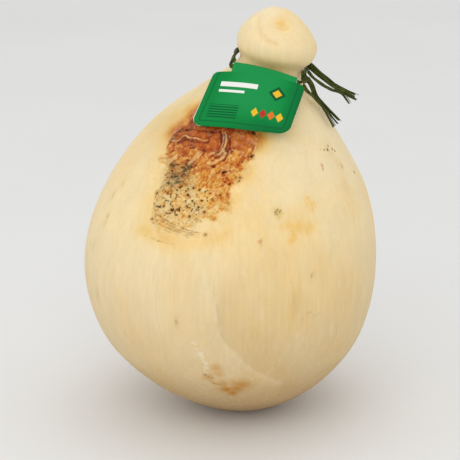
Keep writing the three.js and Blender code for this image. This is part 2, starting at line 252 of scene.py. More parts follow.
# Mould and specks: turn, height, size and strength
MOULD = [
    (-33, 146.5, 1.7, 1), (-31.8, 151.9, 1.7, 0.95), (-39.8, 151.9, 1.3, 0.8), (-29.8, 149.8, 1.2, 0.8),
    (-35, 148.6, 1.3, 0.8), (-36.4, 147.5, 1.3, 0.7), (-31.8, 149.9, 1.3, 0.7), (-38, 149.4, 1.1, 0.6),
    (-30.4, 154, 1.1, 0.7), (-35.5, 151.5, 1.2, 0.6),
]
VEIL = [
    (-37, 149.5, 5, 0.95), (-32, 148.5, 5, 0.95), (-40, 152, 3.5, 0.85), (-30.5, 153, 4, 0.85),
    (-36, 145, 4, 0.6),
]
SPECKS = [
    (-40.2, 139.6, 0.62, 1), (-34.8, 140.9, 0.55, 1), (-36.2, 141.3, 0.47, 0.9), (-29.8, 139.6, 0.47, 0.9),
    (-31.2, 137.8, 0.43, 0.8), (-25, 142.2, 0.7, 1), (-25.8, 144.4, 0.39, 0.8), (-23.8, 145.6, 0.62, 0.9),
    (-20.5, 145.2, 0.58, 1), (-29.8, 136, 0.47, 0.9), (-29.5, 134.1, 0.7, 0.95), (-26.8, 135.1, 0.78, 0.8),
    (-23.2, 137.3, 0.7, 0.9), (-22, 136.9, 0.47, 0.8), (-20.5, 139.1, 0.47, 0.8), (-18.2, 137.8, 0.62, 0.9),
    (-15.2, 136, 0.62, 0.9), (-18.5, 136.5, 0.47, 0.8), (-20.8, 133.2, 0.7, 0.7), (-38.8, 135.1, 0.55, 0.8),
    (-34.5, 134.6, 0.39, 0.7), (-15.5, 131.7, 0.39, 0.7), (-24, 128.8, 0.39, 0.6), (-12.2, 125.9, 0.62, 0.8),
    (-37, 128.8, 0.47, 0.6), (-12.6, 154.5, 0.78, 1), (-11.6, 155, 0.7, 1), (-9.2, 155.5, 0.47, 0.9),
    (0, 163.2, 0.78, 1), (1, 163.6, 0.55, 0.9), (-3.5, 153.1, 0.86, 0.6), (-3.3, 151.8, 0.55, 0.8),
    (-7.5, 149.8, 0.55, 0.9), (-4.5, 160.2, 0.55, 0.8), (-10.2, 144.4, 0.7, 0.6), (-34.8, 161.7, 0.55, 0.8),
    (-44.5, 167.4, 1.09, 0.8), (-46.5, 167, 0.62, 0.7), (-49.5, 165.3, 0.78, 0.7), (-2, 173.5, 1.01, 0.9),
    (-12, 163.6, 0.47, 0.8),
]

# Specks strewn by chance, the rust round all of them and the unevenness of the mould
SPECKLE_ZONES = [(-29, 138, 11, 0.2), (-21, 141, 9, 0.12), (-36, 148, 8, 0.12), (-8, 152, 9, 0.06)]
SPECKLE_LIMITS = (0.68, 0.86)
CROWDING = 1.6
CROWDING_LIMITS = (0.02, 0.06)
STREWN_SPECKS = 0.9
SPECK_DEPTH = 0.25
RUST_SPREAD = 1.8
RUST_STRENGTH = 0.85
STREWN_RUST = 0.5
RUST_LIMITS = (0.25, 0.75)
VEIL_MEAN = 0.7
THIN_MOULD = 0.5
CLUMP_LIMITS = (-0.5, 0.5)

# Where a crisp mark ends, as shares of its size
CRISP_EDGE = (0.7, 1.2)

# Marks on the plain rind: turn, height, size and strength
BROWN_MARKS = [
    (10, 123.3, 0.9, 0.8), (10.4, 121.9, 0.7, 0.5), (31.5, 102, 0.9, 0.8), (-20.2, 78.5, 0.8, 0.6),
    (44.9, 159.8, 1.2, 1), (44.8, 158.2, 1, 1), (62.8, 156.9, 1.1, 0.9), (58, 168.8, 0.7, 0.8),
    (-35, 44, 0.7, 0.4),
]
OLIVE_MARKS = [
    (15.2, 138.2, 0.5, 0.9), (16.2, 139.1, 0.55, 1), (17, 138.2, 0.45, 0.9), (15.8, 137.3, 0.5, 1),
    (17.6, 138.6, 0.35, 0.8), (15, 136.9, 0.35, 0.7), (18.6, 137.8, 0.3, 0.7), (54.6, 166.8, 0.95, 1),
    (51.2, 167.2, 0.65, 0.9), (47.8, 167.8, 0.45, 0.6), (60.6, 166.6, 0.8, 0.9), (62.6, 165.1, 0.7, 0.9),
    (57, 168.4, 0.5, 0.8), (75.4, 150.4, 1, 0.9),
]
SMUDGES = [
    (-65.2, 137.3, 2, 0.3), (-68.5, 130.8, 2.2, 0.35), (-64.5, 122.3, 1.5, 0.5), (-64.2, 119, 2, 0.3),
    (-20.2, 78.5, 1.4, 0.35), (24.3, 88, 4.5, 0.16), (-32.2, 125.9, 1.6, 0.4), (16.4, 138, 2.6, 0.45),
    (56, 166.5, 4.5, 0.22), (60, 158, 5, 0.16), (-62, 80, 2.4, 0.3), (-68, 106, 3, 0.16),
    (59, 147, 4.5, 0.14),
]
YELLOW_BLOTS = [
    (31, 144.4, 2.2, 0.8), (33.2, 140.2, 2.6, 0.9), (30, 141.5, 2.2, 0.6), (22, 130.3, 3.6, 0.75),
    (26.2, 129.6, 4, 0.8), (30.5, 128.6, 3.4, 0.7), (23.5, 126.6, 3.4, 0.85), (22.8, 123.6, 2.2, 0.9),
    (18.4, 130.8, 2, 0.55), (24, 136, 5, 0.35),
]
PALE_FLECKS = [
    (11, 117, 1.3, 0.35), (4, 108, 1.2, 0.25), (11.8, 84, 2.4, 0.16), (28, 97.5, 1.6, 0.16), (45, 93, 2, 0.2),
    (26, 68.3, 0.9, 0.25), (40.8, 45.6, 1.2, 0.25), (20, 54.5, 1.4, 0.2), (-13.5, 109.6, 1.6, 0.2),
    (-14.2, 101.5, 1.9, 0.22), (-8.8, 103.5, 1.1, 0.25), (-41, 104, 1.3, 0.22), (-37, 105, 1.6, 0.25),
]
FOOT_STAIN = [
    (-6.2, 51, 3.4, 0.5), (-5.6, 47.5, 3.2, 0.45), (-10.4, 44.5, 3.2, 0.55), (-4.6, 39.5, 3.2, 0.6),
    (-3.6, 34.6, 3.8, 1), (-1, 31.6, 3.8, 0.9), (1.2, 35, 5, 0.8), (3.8, 38.2, 5, 0.75), (2.2, 39.6, 4, 0.6),
]
FOOT_STAIN_LINES = [
    ([(-9, 39.6), (-5.5, 38.1), (-2.2, 35), (1, 34.2)], 0.8),
    ([(-11.5, 46), (-10, 42.5), (-8.6, 39.4)], 0.5),
]
FOOT_DOTS = [(-11.5, 46, 0.7, 0.6), (-9, 43.3, 0.7, 0.5), (-10.4, 44.4, 0.5, 0.5), (-21.8, 15.8, 0.9, 0.4)]
SCRATCH = [(-13.8, 67.3), (-12.8, 63.7), (-12, 60.1), (-11, 56), (-10, 51.6), (-11.5, 46)]
PRESS_LINE = [
    (-9, 103), (-6.8, 97), (-5.3, 90), (-4.2, 79), (-3.2, 72), (-0.8, 65.7), (2.2, 60.6), (8.5, 50.2),
    (17.5, 42), (23, 37.7),
]
HAIRLINES = [[(27.8, 79), (31.8, 79.2), (35.8, 80.2)], [(28.5, 81.4), (34.5, 82)]]
HAIRLINE_WIDTH = 0.35
HAIRLINE_DARKNESS = 0.22
HAIRLINE_LIMITS = (-0.45, 0.25)
SCRATCH_WIDTH = 1.2
FLAKE_LIMITS = (-0.15, 0.3)
BLOT_STRENGTH = 0.9
LINE_WIDTH = 0.9
LINE_STEPS = 6
NEAR_LINE = 8
FAR = 1000.0

# The line that pressing left: a low step with a ridge, tan on its right and whitish on its left
PRESS_STEP = 0.13
PRESS_RIDGE = 0.06
PRESS_EDGE = 0.8
PRESS_WIDTH = 7
PRESS_TOP = (88, 108)
TAN_STRENGTH = 0.18
TAN_WIDTH = 26
TAN_EDGE = {"offset": 0.4, "width": 0.7, "strength": 0.26}
RIM_OFFSET = 1.2
RIM_WIDTH = 1.8
EDGE_HEIGHTS = (60, 76)
LEFT_TURNS = (-150, -90)
LEFT_FOOT = (30, 60)
LEFT_TOP = (104, 122)

# The upper right, whitened as a painted highlight
RIGHT_STARTS = (8, 36)
RIGHT_ENDS = (90, 150)
UPPER_HEIGHTS = (130, 160)

# Marks by chance on the sides and the back
HIDDEN_TURNS = (82, 276)
HIDDEN_HEIGHTS = (28, 176)
HIDDEN_MARKS = {
    "brown": {"seed": 301, "count": 18, "sizes": (0.5, 0.9), "strengths": (0.4, 0.8)},
    "smudge": {"seed": 302, "count": 9, "sizes": (1.4, 2.6), "strengths": (0.2, 0.4)},
    "blot": {"seed": 303, "count": 16, "sizes": (1.8, 4), "strengths": (0.4, 0.85)},
}
HIDDEN_LINES = {"seed": 304, "count": 7, "turns": (-5, 5), "heights": (-14, 14), "bend": 0.3}

# Head: the pit in its crown, the soft crease that curls round it and the roll inside the crease
PIT = (1, 227.6)
PIT_RADIUS = 4.4
PIT_DEPTH = 1.6
# A line along the pit's lower lip, browned partly as painted shade
PIT_LIP = [(-8, 225.1), (-1, 224.5), (7, 224.6), (15, 225.5)]
LIP_WIDTH = 0.9
HEAD_CREASE = [(-62, 226.4), (-50, 223.4), (-38, 220.8), (-27.5, 218.8), (-18.2, 217), (-4, 216.4)]
CREASE_WIDTH = 1.5
CREASE_DEPTH = 1.1
HEAD_ROLL = [(-45, 227), (-37, 223.8), (-29, 221.4), (-20, 219.6), (-8, 218.6)]
ROLL_WIDTH = 2.2
ROLL_RISE = 0.5
# Yellow-olive painted shade under the head, partly the rind's own yellower tone: height, band, spread, turn
# and strength
NECK_LEVEL = 203
NECK_BAND = 6.5
NECK_SPREAD = 38
NECK_TURN = 2
NECK_SHADE_STRENGTH = 0.55
# Painted highlight on the head, more on its left: heights where it starts, and the sides it fades between
HEAD_HEIGHTS = (203, 214)
HEAD_SIDES = (-0.77, 0.64)

# How much each feature browns the rind, and how much each whitens it
BROWN = {
    "halo": 0.07, "halo strip": 0.1, "patch": 0.2, "orange": 0.09, "high orange": 0.25, "red": 0.25,
    "veil": 0.34, "grit": 0.27, "crumbs": 0.32, "veins": 0.12, "orange strip": 0.26,
    # The crease and the pit's lip are browned partly as painted shade
    "pit": 0.2, "crease": 0.06, "lip": 0.1,
}
WHITE = {
    # The whitening of the upper right and of the head, more on its left, is painted highlight
    "scratch": 0.75, "low rim": 0.14, "high rim": 0.2, "left": 0.1, "upper right": 0.14,
    "head left": 0.24, "head right": 0.04,
}

# Unevenness by chance: weight, pitch and seed of each noise that is summed
RAGGED_NOISE = [(1.3, 5, 1), (0.9, 2, 2), (0.6, 0.8, 3)]
VEIN_NOISE = (2.4, 21)
CRUMB_NOISE = [(0.4, *VEIN_NOISE), (0.7, 1.2, 22), (0.65, 0.65, 23)]
GRIT_STROKES = [(0.45, 1.9, 24)]
GRIT_NOISE = [(0.42, 1.1, 25), (0.4, 0.6, 26)]
WANDER_SEEDS = (41, 42, 43)
RIPPLE_NOISE = [(0.1, 11, 51)]
SPECKLE_NOISE = [(1, 1.15, 61), (0.3, 0.55, 62)]
RUST_STROKES = [(1, 0.8, 63)]
RUST_NOISE = [(0.5, 0.6, 64)]
HALO_NOISE = [(0.6, 6, 70)]
CLOUD_NOISE = [(0.1, 4.5, 72)]
GAP_NOISE = {"crests": [(1, 2.2, 81), (0.6, 0.9, 82)], "edges": [(1, 2.2, 83), (0.6, 0.9, 84)]}
VEIL_NOISE = [(0.5, 2.2, 90), (0.5, 0.9, 93)]
CLUMP_NOISE = [(1, 1.6, 91), (0.7, 0.7, 92)]
HAIRLINE_NOISE = [(1, 3, 95)]
FLAKE_NOISE = [(1, (0.9, 0.9, 1.7), 111), (0.5, 0.6, 112)]
NOISE_TABLE = 4096
NOISE_PRIMES = (73856093, 19349663, 83492791)

# How far and at what pitch the edges of each kind of mark wander
WANDER = {
    "folds": (0.35, 1.1), "specks": (0.5, 0.9), "orange strip": (0.8, 2), "veil": (1, 2.5),
    "mould": (0.9, 1.4), "rust": (0.6, 1), "brown": (0.5, 1), "hairlines": (0.2, 2), "foot dots": (0.5, 1),
    "foot stain": (1, 3), "foot lines": (0.5, 1.5), "smudges": (1, 2.5), "blots": (1.6, 2.5),
    "olive": (0.3, 0.8), "scratch": (0.8, 1.6), "flecks": (0.6, 1.3),
}

# Marks that are longer than wide: how they are squeezed along x, y and z
ROUND = (1, 1, 1)
SQUEEZE = {"brown": (1.5, 1.5, 0.75), "smudges": (1.3, 1.3, 0.6), "flecks": (1.4, 1.4, 0.7)}

# Tag: a card lying on the shoulder, in its own frame with x across, y up the slope and z off the cheese
TAG_CENTRE = np.array([4.7, -36.9, 190.6])
TAG_TURN = math.radians(-20)
TAG_SLOPE = math.radians(44)
CARD = 0.5
TAG_LEFT = {"shoulder": -25.4, "bottom": -29.8}
TAG_RIGHT = {"shoulder": 25, "bottom": 23}
TAG_BOTTOM = -18.9
SWEEP_START = -2
SWEEP_RISE = 0.0055
TAG_SHOULDER = 15.8
TAB_LEFT = -15.6
TAB_RIGHT = 20.2
TAB_LEVEL = 1.12
CORNER_BOTTOM = 5.5
CORNER_SHOULDER = 3
FOLD_RADIUS = 1.95
FOLD_LEFT = 21.4
FOLD_RIGHT = 18
BOW_START = -8
BOW_RADIUS = {"left": 200, "right": 69}
LEAF_GAP = 1.3
LEAF_SHIFT = -1.1
LEAF_LIFT = 1.4
TAG_COLUMNS = 72
CORNER_ROWS = 12
LEAF_ROWS = 26
FOLD_ROWS = 20
PRINTED = 0
BARE = 1

# Print on the tag's front: middles and half sizes of plain bars, a block of lines, lozenges and a badge
PRINT_BARS = [((-9, 8.2), (10.5, 1.5)), ((-12.2, 3.9), (7.3, 0.8))]
PRINT_LINES = ((-14, -9.2), (8.4, 4.4))
PRINT_LINE_PITCH = 0.8
LOZENGE_FIRST = (3.5, -7.5)
LOZENGE_STEP = 4.4
LOZENGE_HALF = (2, 2.9)
BADGE_PLACE = (12.5, 6.2)
BADGE_HALVES = (4.6, 2.6)
BORDER_INSET = 3.2
# How unevenly the card's painted sheen and edge shade follow the distance from its edge
SHEEN_UNEVENNESS = 6.0

# Raffia tie: through the tag's fold, then from the fold's right end round the neck to its left
FOLD_STRETCH = (-0.06, 0.25, 0.58, 0.88, 1.02)
NECK_STRETCH = [
    (33.8, -22.4, 197.2), (33.6, -12.2, 199), (35.6, -3.4, 198.6), (35, 7.4, 199.2), (28.4, 16.8, 200.8),
    (17, 20.6, 203.4), (4.2, 16.9, 206.8), (-2, 7.3, 208), (-3.6, -2.6, 207.4), (-4.8, -9, 206),
]
LOOP_STRAND_WIDTH = 1.95
LOOP_STRAND_THICKNESS = 0.7
LOOP_STRAND_OFFSET = 0.6
LOOP_TWISTS = 6
KNOT_CENTRE = np.array([33.8, -20.4, 197.5])
KNOT_REACH = 2
KNOT_RADIUS = 1.15
KNOT_TURNS = 3
KNOT_TWIST = 0.5

# Raffia ends, cut off bare
TAILS = [
    [
        (37.2, 9.6, 199.1), (39, 6.6, 198), (44, 5, 193.9),
        (50.7, 4, 188.9), (57.4, 3, 185), (64.1, 2, 181.9),
    ],
    [
        (36.7, 4.5, 196.2), (39.4, 2, 193.6), (43.9, 1, 190.2),
        (49.4, 0, 187), (55.5, -0.6, 184.7), (59.6, -0.4, 179.1),
    ],
    [(35.4, -12.2, 196.4), (37.6, -12.2, 193.1), (40.6, -11, 186), (45.9, -7, 178.8), (54, -3, 168.9)],
    [
        (33.3, -19.6, 194.1), (34.7, -18.4, 191.5), (39.2, -16.4, 186.7),
        (44.4, -13, 180), (50.4, -13.2, 169.4),
    ],
]

# Each end's flat strips, which fray, the root that joins it to the tie and a fine fibre beside it
TAIL_WIDTHS = (3.3, 1.5, 2.6, 1.5)
TAIL_STRIPS = (3, 1, 2, 1)
TAIL_TWISTS = (0.12, -0.25, 0.2, -0.2)
TAIL_THICKNESS = 0.8
ROOT_OVERLAP = 0.3
ROOT_NARROWING = 0.7
ROOT_TAPER = 0.8
FRAY_START = 0.62
FRAY_REACH = 1.5
FRAY_LIFT = 0.3
STRIP_SPACING = (1.15, 0.7)
STRIP_LIFT = 0.25
STRIP_WIDENING = 1.25
STRIP_SHORTENING = (2, 5)
FIBRE_WIDTH = 0.5
FIBRE_THICKNESS = 0.35
FIBRE_TAPER = 0.4
FIBRE_OFFSET = 0.35
FIBRE_SPREAD = 0.7
FIBRE_SWAY = 0.4
FIBRE_WAVE = 3

# Every strand: its faces, how it sways, swells and is creased, the ridges round it and its ragged cut
STRAND_SIDES = 18
STRAND_STEP = 0.5
SHORT_STEP = 0.35
FINE_STEP = 0.1
ROUTE_STEPS = 12
ROOT_STEPS = 8
STRAND_SWAY = 0.3
SWAY_WAVES = 2.3
STRAND_SWELL = 0.12
SWELL_WAVES = 3.1
STRAND_CREASE = (0.3, 0.6)
STRAND_RIDGES = {5: 0.12, 8: 0.06}
STRAND_CUT = 0.6
STRAND_SEEDS = {"tail": 0, "fibre": 20, "loop": 20, "knot": 30, "fray": 40, "root": 50}

# Colours as sRGB
BROWNING = [
    (0.0, (243, 220, 171)), (0.16, (243, 209, 142)), (0.34, (231, 184, 104)), (0.52, (219, 154, 66)),
    (0.7, (203, 119, 48)), (0.86, (175, 82, 32)), (1.0, (118, 44, 14)),
]
# Tan of the pressed line, also laid on towards the foot as the rind's darker base and partly as painted shade
TAN_AND_FOOT_SHADE = (176, 144, 99)
FOOT_TAN_AND_SHADE_SHARES = [(120, 0.66), (45, 0.4)]
# Yellow-olive painted shade under the head
NECK_SHADE_YELLOW = (190, 158, 64)
WAN = (218, 198, 142)
# Cream of the crumbs and of the crests, whose paleness is partly painted highlight
CREAM_AND_HIGHLIGHT = (234, 194, 130)
VEIL_BROWN = (112, 76, 28)
MOULD_GREY = (54, 50, 36)
BLOT_YELLOW = (240, 194, 100)
# Chalky white of the scratch and flecks, also laid on as painted highlight on the head and the upper right
CHALK_AND_HIGHLIGHT = (240, 232, 208)

# Stains let the rind show through: what each leaves of white
RUST = (196, 146, 84)
UMBER = (206, 138, 78)
STAIN_OCHRE = (226, 176, 54)
SMUDGE_OLIVE = (211, 188, 70)
OLIVE_DOT = (150, 136, 66)
SPECK_BROWN = (92, 70, 42)

# Layers over the rind, the lowest first, and how each is laid on
RIND_LAYERS = [
    ("tan", "MIX", TAN_AND_FOOT_SHADE), ("neck", "MIX", NECK_SHADE_YELLOW), ("chalk_and_highlight", "MIX", CHALK_AND_HIGHLIGHT), ("wan", "MIX", WAN),
    ("smudge", "MULTIPLY", SMUDGE_OLIVE), ("blot", "MIX", BLOT_YELLOW), ("stain", "MULTIPLY", STAIN_OCHRE),
    ("veil", "MIX", VEIL_BROWN), ("rust", "MULTIPLY", RUST), ("mould", "MIX", MOULD_GREY),
    ("pale", "MIX", CREAM_AND_HIGHLIGHT), ("olive", "MULTIPLY", OLIVE_DOT), ("umber", "MULTIPLY", UMBER),
    ("dark", "MULTIPLY", SPECK_BROWN),
]
CARD_GREEN = (5, 136, 62)
CARD_GREEN_DARK = (2, 90, 46)
# Painted sheen in the card's middle
CARD_GREEN_SHEEN = (24, 144, 73)
CARD_WHITE = (238, 238, 232)
CARD_GREY = (218, 220, 210)
PRINT_YELLOW = (236, 186, 48)
PRINT_ORANGE = (222, 118, 40)
PRINT_RED = (190, 50, 38)
FLOOR_PALE = (233, 233, 232)
FLOOR_WHITE = (236, 236, 235)
RAFFIA_TONES = [(0.0, (22, 24, 6)), (0.5, (62, 72, 20)), (1.0, (142, 152, 78))]
LOZENGE_TINTS = (PRINT_YELLOW, PRINT_RED, PRINT_ORANGE, PRINT_YELLOW)
BADGE_TINTS = (CARD_GREEN_DARK, PRINT_YELLOW)

# Textures of the materials: knots to a metre along each axis, and detail
TEXTURES = {
    "mottle": ((34, 34, 22), 3.0), "flecks": ((400, 400, 36), 2.0), "streaks": ((540, 540, 20), 2.0),
    "clouds": ((110, 110, 60), 2.0), "grain": ((1400, 1400, 1400), 3.0), "sheen": ((60, 60, 60), 2.0),
    "card": ((900, 900, 900), 3.0), "floor": ((4, 4, 4), 3.0),
}
STRAND_KNOTS = {"strand_across": 7, "strand_along": 0.22}
STRAND_DETAIL = 4.0

# Ranges: low and high of a value, and what these become if not 0 and 1
RANGES = {
    "mottle": (0.35, 0.65, -0.03, 0.08), "flecks": (0.56, 0.78, 0.0, 0.2),
    "lightness": (1.1, 1.9, 0.95, 1.05), "rind roughness": (0.2, 0.6, 0.5, 0.42),
    "front": (-0.1, 0.1), "sheen middle": (9.0, 20.0), "shaded edges": (13.0, 2.0, 0.0, 0.75),
    "shaded right": (-14.0, 12.0, 0.3, 1.0), "border": (0.5, 0.3, 0.0, 0.6), "print lines": (0.44, 0.36),
    "bar": (0.06, -0.06), "lozenge": (1.04, 0.96), "card roughness": (0.3, 0.7, 0.3, 0.42),
    "card": (0.3, 0.7), "strand edge shade": (0.6, 1.0, 0.0, 0.5), "strand fibres": (0.34, 0.66),
    "floor": (0.3, 0.7),
}

# Stage
FLOOR_HALF = 4000
LIGHT_TARGET = (0, 0, 110)
LIGHTS = {
    "key": {"place": (-260, -1000, 700), "size": 1200, "watts": 3.2},
    "top": {"place": (60, 300, 1300), "size": 900, "watts": 1.3},
}
WORLD_STRENGTH = 0.82


def linear(colour):
    """An sRGB colour as Blender's linear RGBA"""
    share = np.array(colour) / 255
    low = share / 12.92
    high = ((share + 0.055) / 1.055) ** 2.4
    return (*np.where(share <= 0.04045, low, high), 1)


def smoothstep(value, low, high):
    share = np.clip((value - low) / (high - low), 0, 1)
    return share * share * (3 - 2 * share)


def falling(value, low, high):
    return 1 - smoothstep(value, low, high)


def mix(first, second, share):
    return first + (second - first) * share


def spline(points, steps, closed=False):
    """A centripetal Catmull-Rom curve through points, with so many steps to a stretch"""
    knots = np.asarray(points, float)
    if closed:
        knots = np.vstack([knots[-1:], knots, knots[:2]])
    else:
        knots = np.vstack([2 * knots[0] - knots[1], knots, 2 * knots[-1] - knots[-2]])
    share = np.arange(steps)[:, None] / steps
    stretches = []
    for before, start, end, after in zip(knots, knots[1:], knots[2:], knots[3:]):
        pairs = ((before, start), (start, end), (end, after))
        first, middle, last = (math.sqrt(math.dist(*pair)) for pair in pairs)
        leave = middle * ((start - before) / first - (end - before) / (first + middle)) + end - start
        arrive = middle * ((after - end) / last - (after - start) / (middle + last)) + end - start
        square = 3 * (end - start) - 2 * leave - arrive
        cube = 2 * (start - end) + leave + arrive
        stretches.append(start + leave * share + square * share**2 + cube * share**3)
    if not closed:
        stretches.append(knots[-2:-1])
    return np.vstack(stretches)


def noise(points, pitch, seed):
    """Smooth value noise between -1 and 1, with a knot every pitch"""
    table = np.random.default_rng(seed).uniform(-1, 1, NOISE_TABLE)
    scaled = points / pitch
    cell = np.floor(scaled).astype(np.int64)
    part = scaled - cell
    part = part * part * (3 - 2 * part)
    total = np.zeros(len(points))
    for corner in product((0, 1), repeat=points.shape[1]):
        key = (cell + corner) * NOISE_PRIMES[: points.shape[1]]
        weight = np.prod(np.where(corner, part, 1 - part), axis=1)
        total += weight * table[np.bitwise_xor.reduce(key, axis=1) % NOISE_TABLE]
    return total


def noises(points, layers):
    """A sum of noises, each with its weight, pitch and seed"""
    return sum(weight * noise(points, pitch, seed) for weight, pitch, seed in layers)


def chance_marks(seed, count, sizes, strengths):
    """Marks by chance where the front's own don't reach: turn, height, size and strength"""
    draw = np.random.default_rng(seed)
    ranges = (HIDDEN_TURNS, HIDDEN_HEIGHTS, sizes, strengths)
    return [tuple(draw.uniform(*limits) for limits in ranges) for _ in range(count)]


def chance_lines(seed, count, turns, heights, bend):
    """Short, slightly bent lines by chance"""
    draw = np.random.default_rng(seed)
    lines = []
    for _ in range(count):
        turn, height = draw.uniform(*HIDDEN_TURNS), draw.uniform(*HIDDEN_HEIGHTS)
        run, rise = draw.uniform(*turns), draw.uniform(*heights)
        middle = (turn + run / 2 + bend, height + rise / 2)
        lines.append([(turn, height), middle, (turn + run, height + rise)])
    return lines


ALL_BROWN = BROWN_MARKS + chance_marks(**HIDDEN_MARKS["brown"])
ALL_SMUDGES = SMUDGES + chance_marks(**HIDDEN_MARKS["smudge"])
ALL_BLOTS = YELLOW_BLOTS + chance_marks(**HIDDEN_MARKS["blot"])
ALL_HAIRLINES = HAIRLINES + chance_lines(**HIDDEN_LINES)
ALL_MARKS = ALL_BROWN + OLIVE_MARKS + ALL_SMUDGES + ALL_BLOTS + PALE_FLECKS + FOOT_STAIN + FOOT_DOTS
ALL_LINES = [PRESS_LINE, SCRATCH, HEAD_CREASE, PIT_LIP, *ALL_HAIRLINES]
ALL_LINES += [line for line, _ in FOOT_STAIN_LINES]


# Cheese: its smooth form, and places on it
PROFILE = spline(OUTLINE, SPLINE_STEPS)
SPINE_LINE = spline(SPINE, SPLINE_STEPS)


def form(turn, height, radius=None):
    """Points of the smooth form from turns in degrees and heights"""
    if radius is None:
        radius = np.interp(height, PROFILE[:, 1], PROFILE[:, 0])
    lean = LEAN * smoothstep(height, LEAN_STARTS, LEAN_ENDS)
    angle = np.radians(turn)
    sideways = radius * np.sin(angle)
    return np.column_stack([
        np.interp(height, SPINE_LINE[:, 1], SPINE_LINE[:, 0]) + sideways * np.cos(lean),
        -radius * np.cos(angle),
        height - sideways * np.sin(lean),
    ])


def on_form(places):
    places = np.array(places, float)
    return form(places[:, 0], places[:, 1])


def line_on_form(places):
    return on_form(spline(places, LINE_STEPS))


def place_distance(points, place, squeeze=ROUND):
    """Each point's distance to a place on the cheese"""
    return np.linalg.norm((points - on_form([place])) * squeeze, axis=1)


def segment_distances(points, line):
    """Each point's distance to a line of straight stretches, in two or three dimensions"""
    nearest = np.full(len(points), np.inf)
    for start, end in zip(line, line[1:]):
        way = end - start
        share = np.clip((points - start) @ way / (way @ way), 0, 1)
        gap = points - start - share[:, None] * way
        nearest = np.minimum(nearest, np.sqrt(np.einsum("ij,ij->i", gap, gap)))
    return nearest


def line_distance(points, places):
    """Distance to a smooth line through places on the cheese, left large where it is more than a little"""
    line = line_on_form(places)
    near = np.all((points > line.min(axis=0) - NEAR_LINE) & (points < line.max(axis=0) + NEAR_LINE), axis=1)
    gap = np.full(len(points), FAR)
    gap[near] = segment_distances(points[near], line)
    return gap


def inside(flat, polygon):
    """Distance inside a polygon of places on the rind laid flat, less than 0 outside"""
    corners = np.array(polygon) * FLAT
    corners = np.vstack([corners, corners[:1]])
    within = np.zeros(len(flat), bool)
    for (x0, y0), (x1, y1) in zip(corners, corners[1:]):
        crosses = (y0 > flat[:, 1]) != (y1 > flat[:, 1])
        rise = y1 - y0 if y1 != y0 else 1
        within ^= crosses & (flat[:, 0] < x0 + (flat[:, 1] - y0) * (x1 - x0) / rise)
    return np.where(within, 1, -1) * segment_distances(flat, corners)


def bell(gap, width):
    return np.exp(-((gap / width) ** 2))


def spots(points, marks, squeeze=ROUND, crisp=False):
    """The strongest of round marks [turn, height, size, strength] at each point, with soft or crisp edges"""
    strongest = np.zeros(len(points))
    for *place, size, strength in marks:
        gap = place_distance(points, place, squeeze)
        share = falling(gap / size, *CRISP_EDGE) if crisp else bell(gap, size)
        strongest = np.maximum(strongest, strength * share)
    return strongest


def outline_rings():
    """Radius and height of the rings, from the foot to just below the crown"""
    lengths = np.linalg.norm(np.diff(PROFILE, axis=0), axis=1)
    step = np.where(PROFILE[1:, 1] < NECK_HEIGHT, BODY_STEP, HEAD_STEP)
    count = np.concatenate([[0], np.cumsum(lengths / step)])
    at = np.arange(int(count[-1]))
    rings = np.column_stack([np.interp(at, count, PROFILE[:, 0]), np.interp(at, count, PROFILE[:, 1])])
    return np.vstack([[(radius, 0) for radius in FOOT_RINGS], rings])


def grid_faces(rings, columns):
    """Quads round rings of columns, a fan at each end from the first and the last vertex"""
    start = 1 + columns * np.arange(rings)[:, None] + np.arange(columns)
    beside = np.roll(start, -1, axis=1)
    quads = np.stack([start[:-1], beside[:-1], beside[1:], start[1:]], axis=-1).reshape(-1, 4)
    last = 1 + rings * columns
    bottom = [(0, b, a) for a, b in zip(start[0], beside[0])]
    top = [(last, a, b) for a, b in zip(start[-1], beside[-1])]
    return bottom + quads.tolist() + top


def new_mesh(name, points, faces):
    mesh = bpy.data.meshes.new(name)
    mesh.from_pydata((np.asarray(points) * MM).tolist(), [], faces)
    return mesh


def write_values(mesh, name, values):
    layer = mesh.attributes.get(name) or mesh.attributes.new(name, "FLOAT", "POINT")
    layer.data.foreach_set("value", np.ascontiguousarray(values, dtype=np.float32))


def read_values(mesh, name):
    values = np.zeros(len(mesh.vertices), np.float32)
    mesh.attributes[name].data.foreach_get("value", values)
    return values.astype(float)


def read_normals(mesh):
    normals = np.zeros(3 * len(mesh.vertices), np.float32)
    mesh.vertex_normals.foreach_get("vector", normals)
    return normals.reshape(-1, 3).astype(float)


def write_points(mesh, points):
    mesh.vertices.foreach_set("co", np.ascontiguousarray(points * MM, dtype=np.float32).ravel())
    mesh.update()


def new_object(name, mesh, *materials):
    made = bpy.data.objects.new(name, mesh)
    bpy.context.scene.collection.objects.link(made)
    for material in materials:
        mesh.materials.append(material)
    mesh.shade_smooth()
    return made


def smooth_cheese():
    """The smooth form, each vertex with its turn, height and radius, finer where the rind is marked"""
    rings = outline_rings()
    turns = np.linspace(-180, 180, COLUMNS, endpoint=False)
    turn = np.concatenate([[0], np.tile(turns, len(rings)), [0]])
    radius = np.concatenate([[0], np.repeat(rings[:, 0], COLUMNS), [0]])
    height = np.concatenate([[0], np.repeat(rings[:, 1], COLUMNS), [CROWN_HEIGHT]])
    mesh = new_mesh("cheese_rind", form(turn, height, radius), grid_faces(len(rings), COLUMNS))
    for name, values in (("turn", turn), ("height", height), ("radius", radius)):
        write_values(mesh, name, values)
    split_faces(mesh, marked(turn, height), MARK_CUTS)
    flat = np.column_stack([read_values(mesh, "turn"), read_values(mesh, "height")]) * FLAT
    split_faces(mesh, inside(flat, PATCH) > -PATCH_MARGIN, PATCH_CUTS)
    return mesh


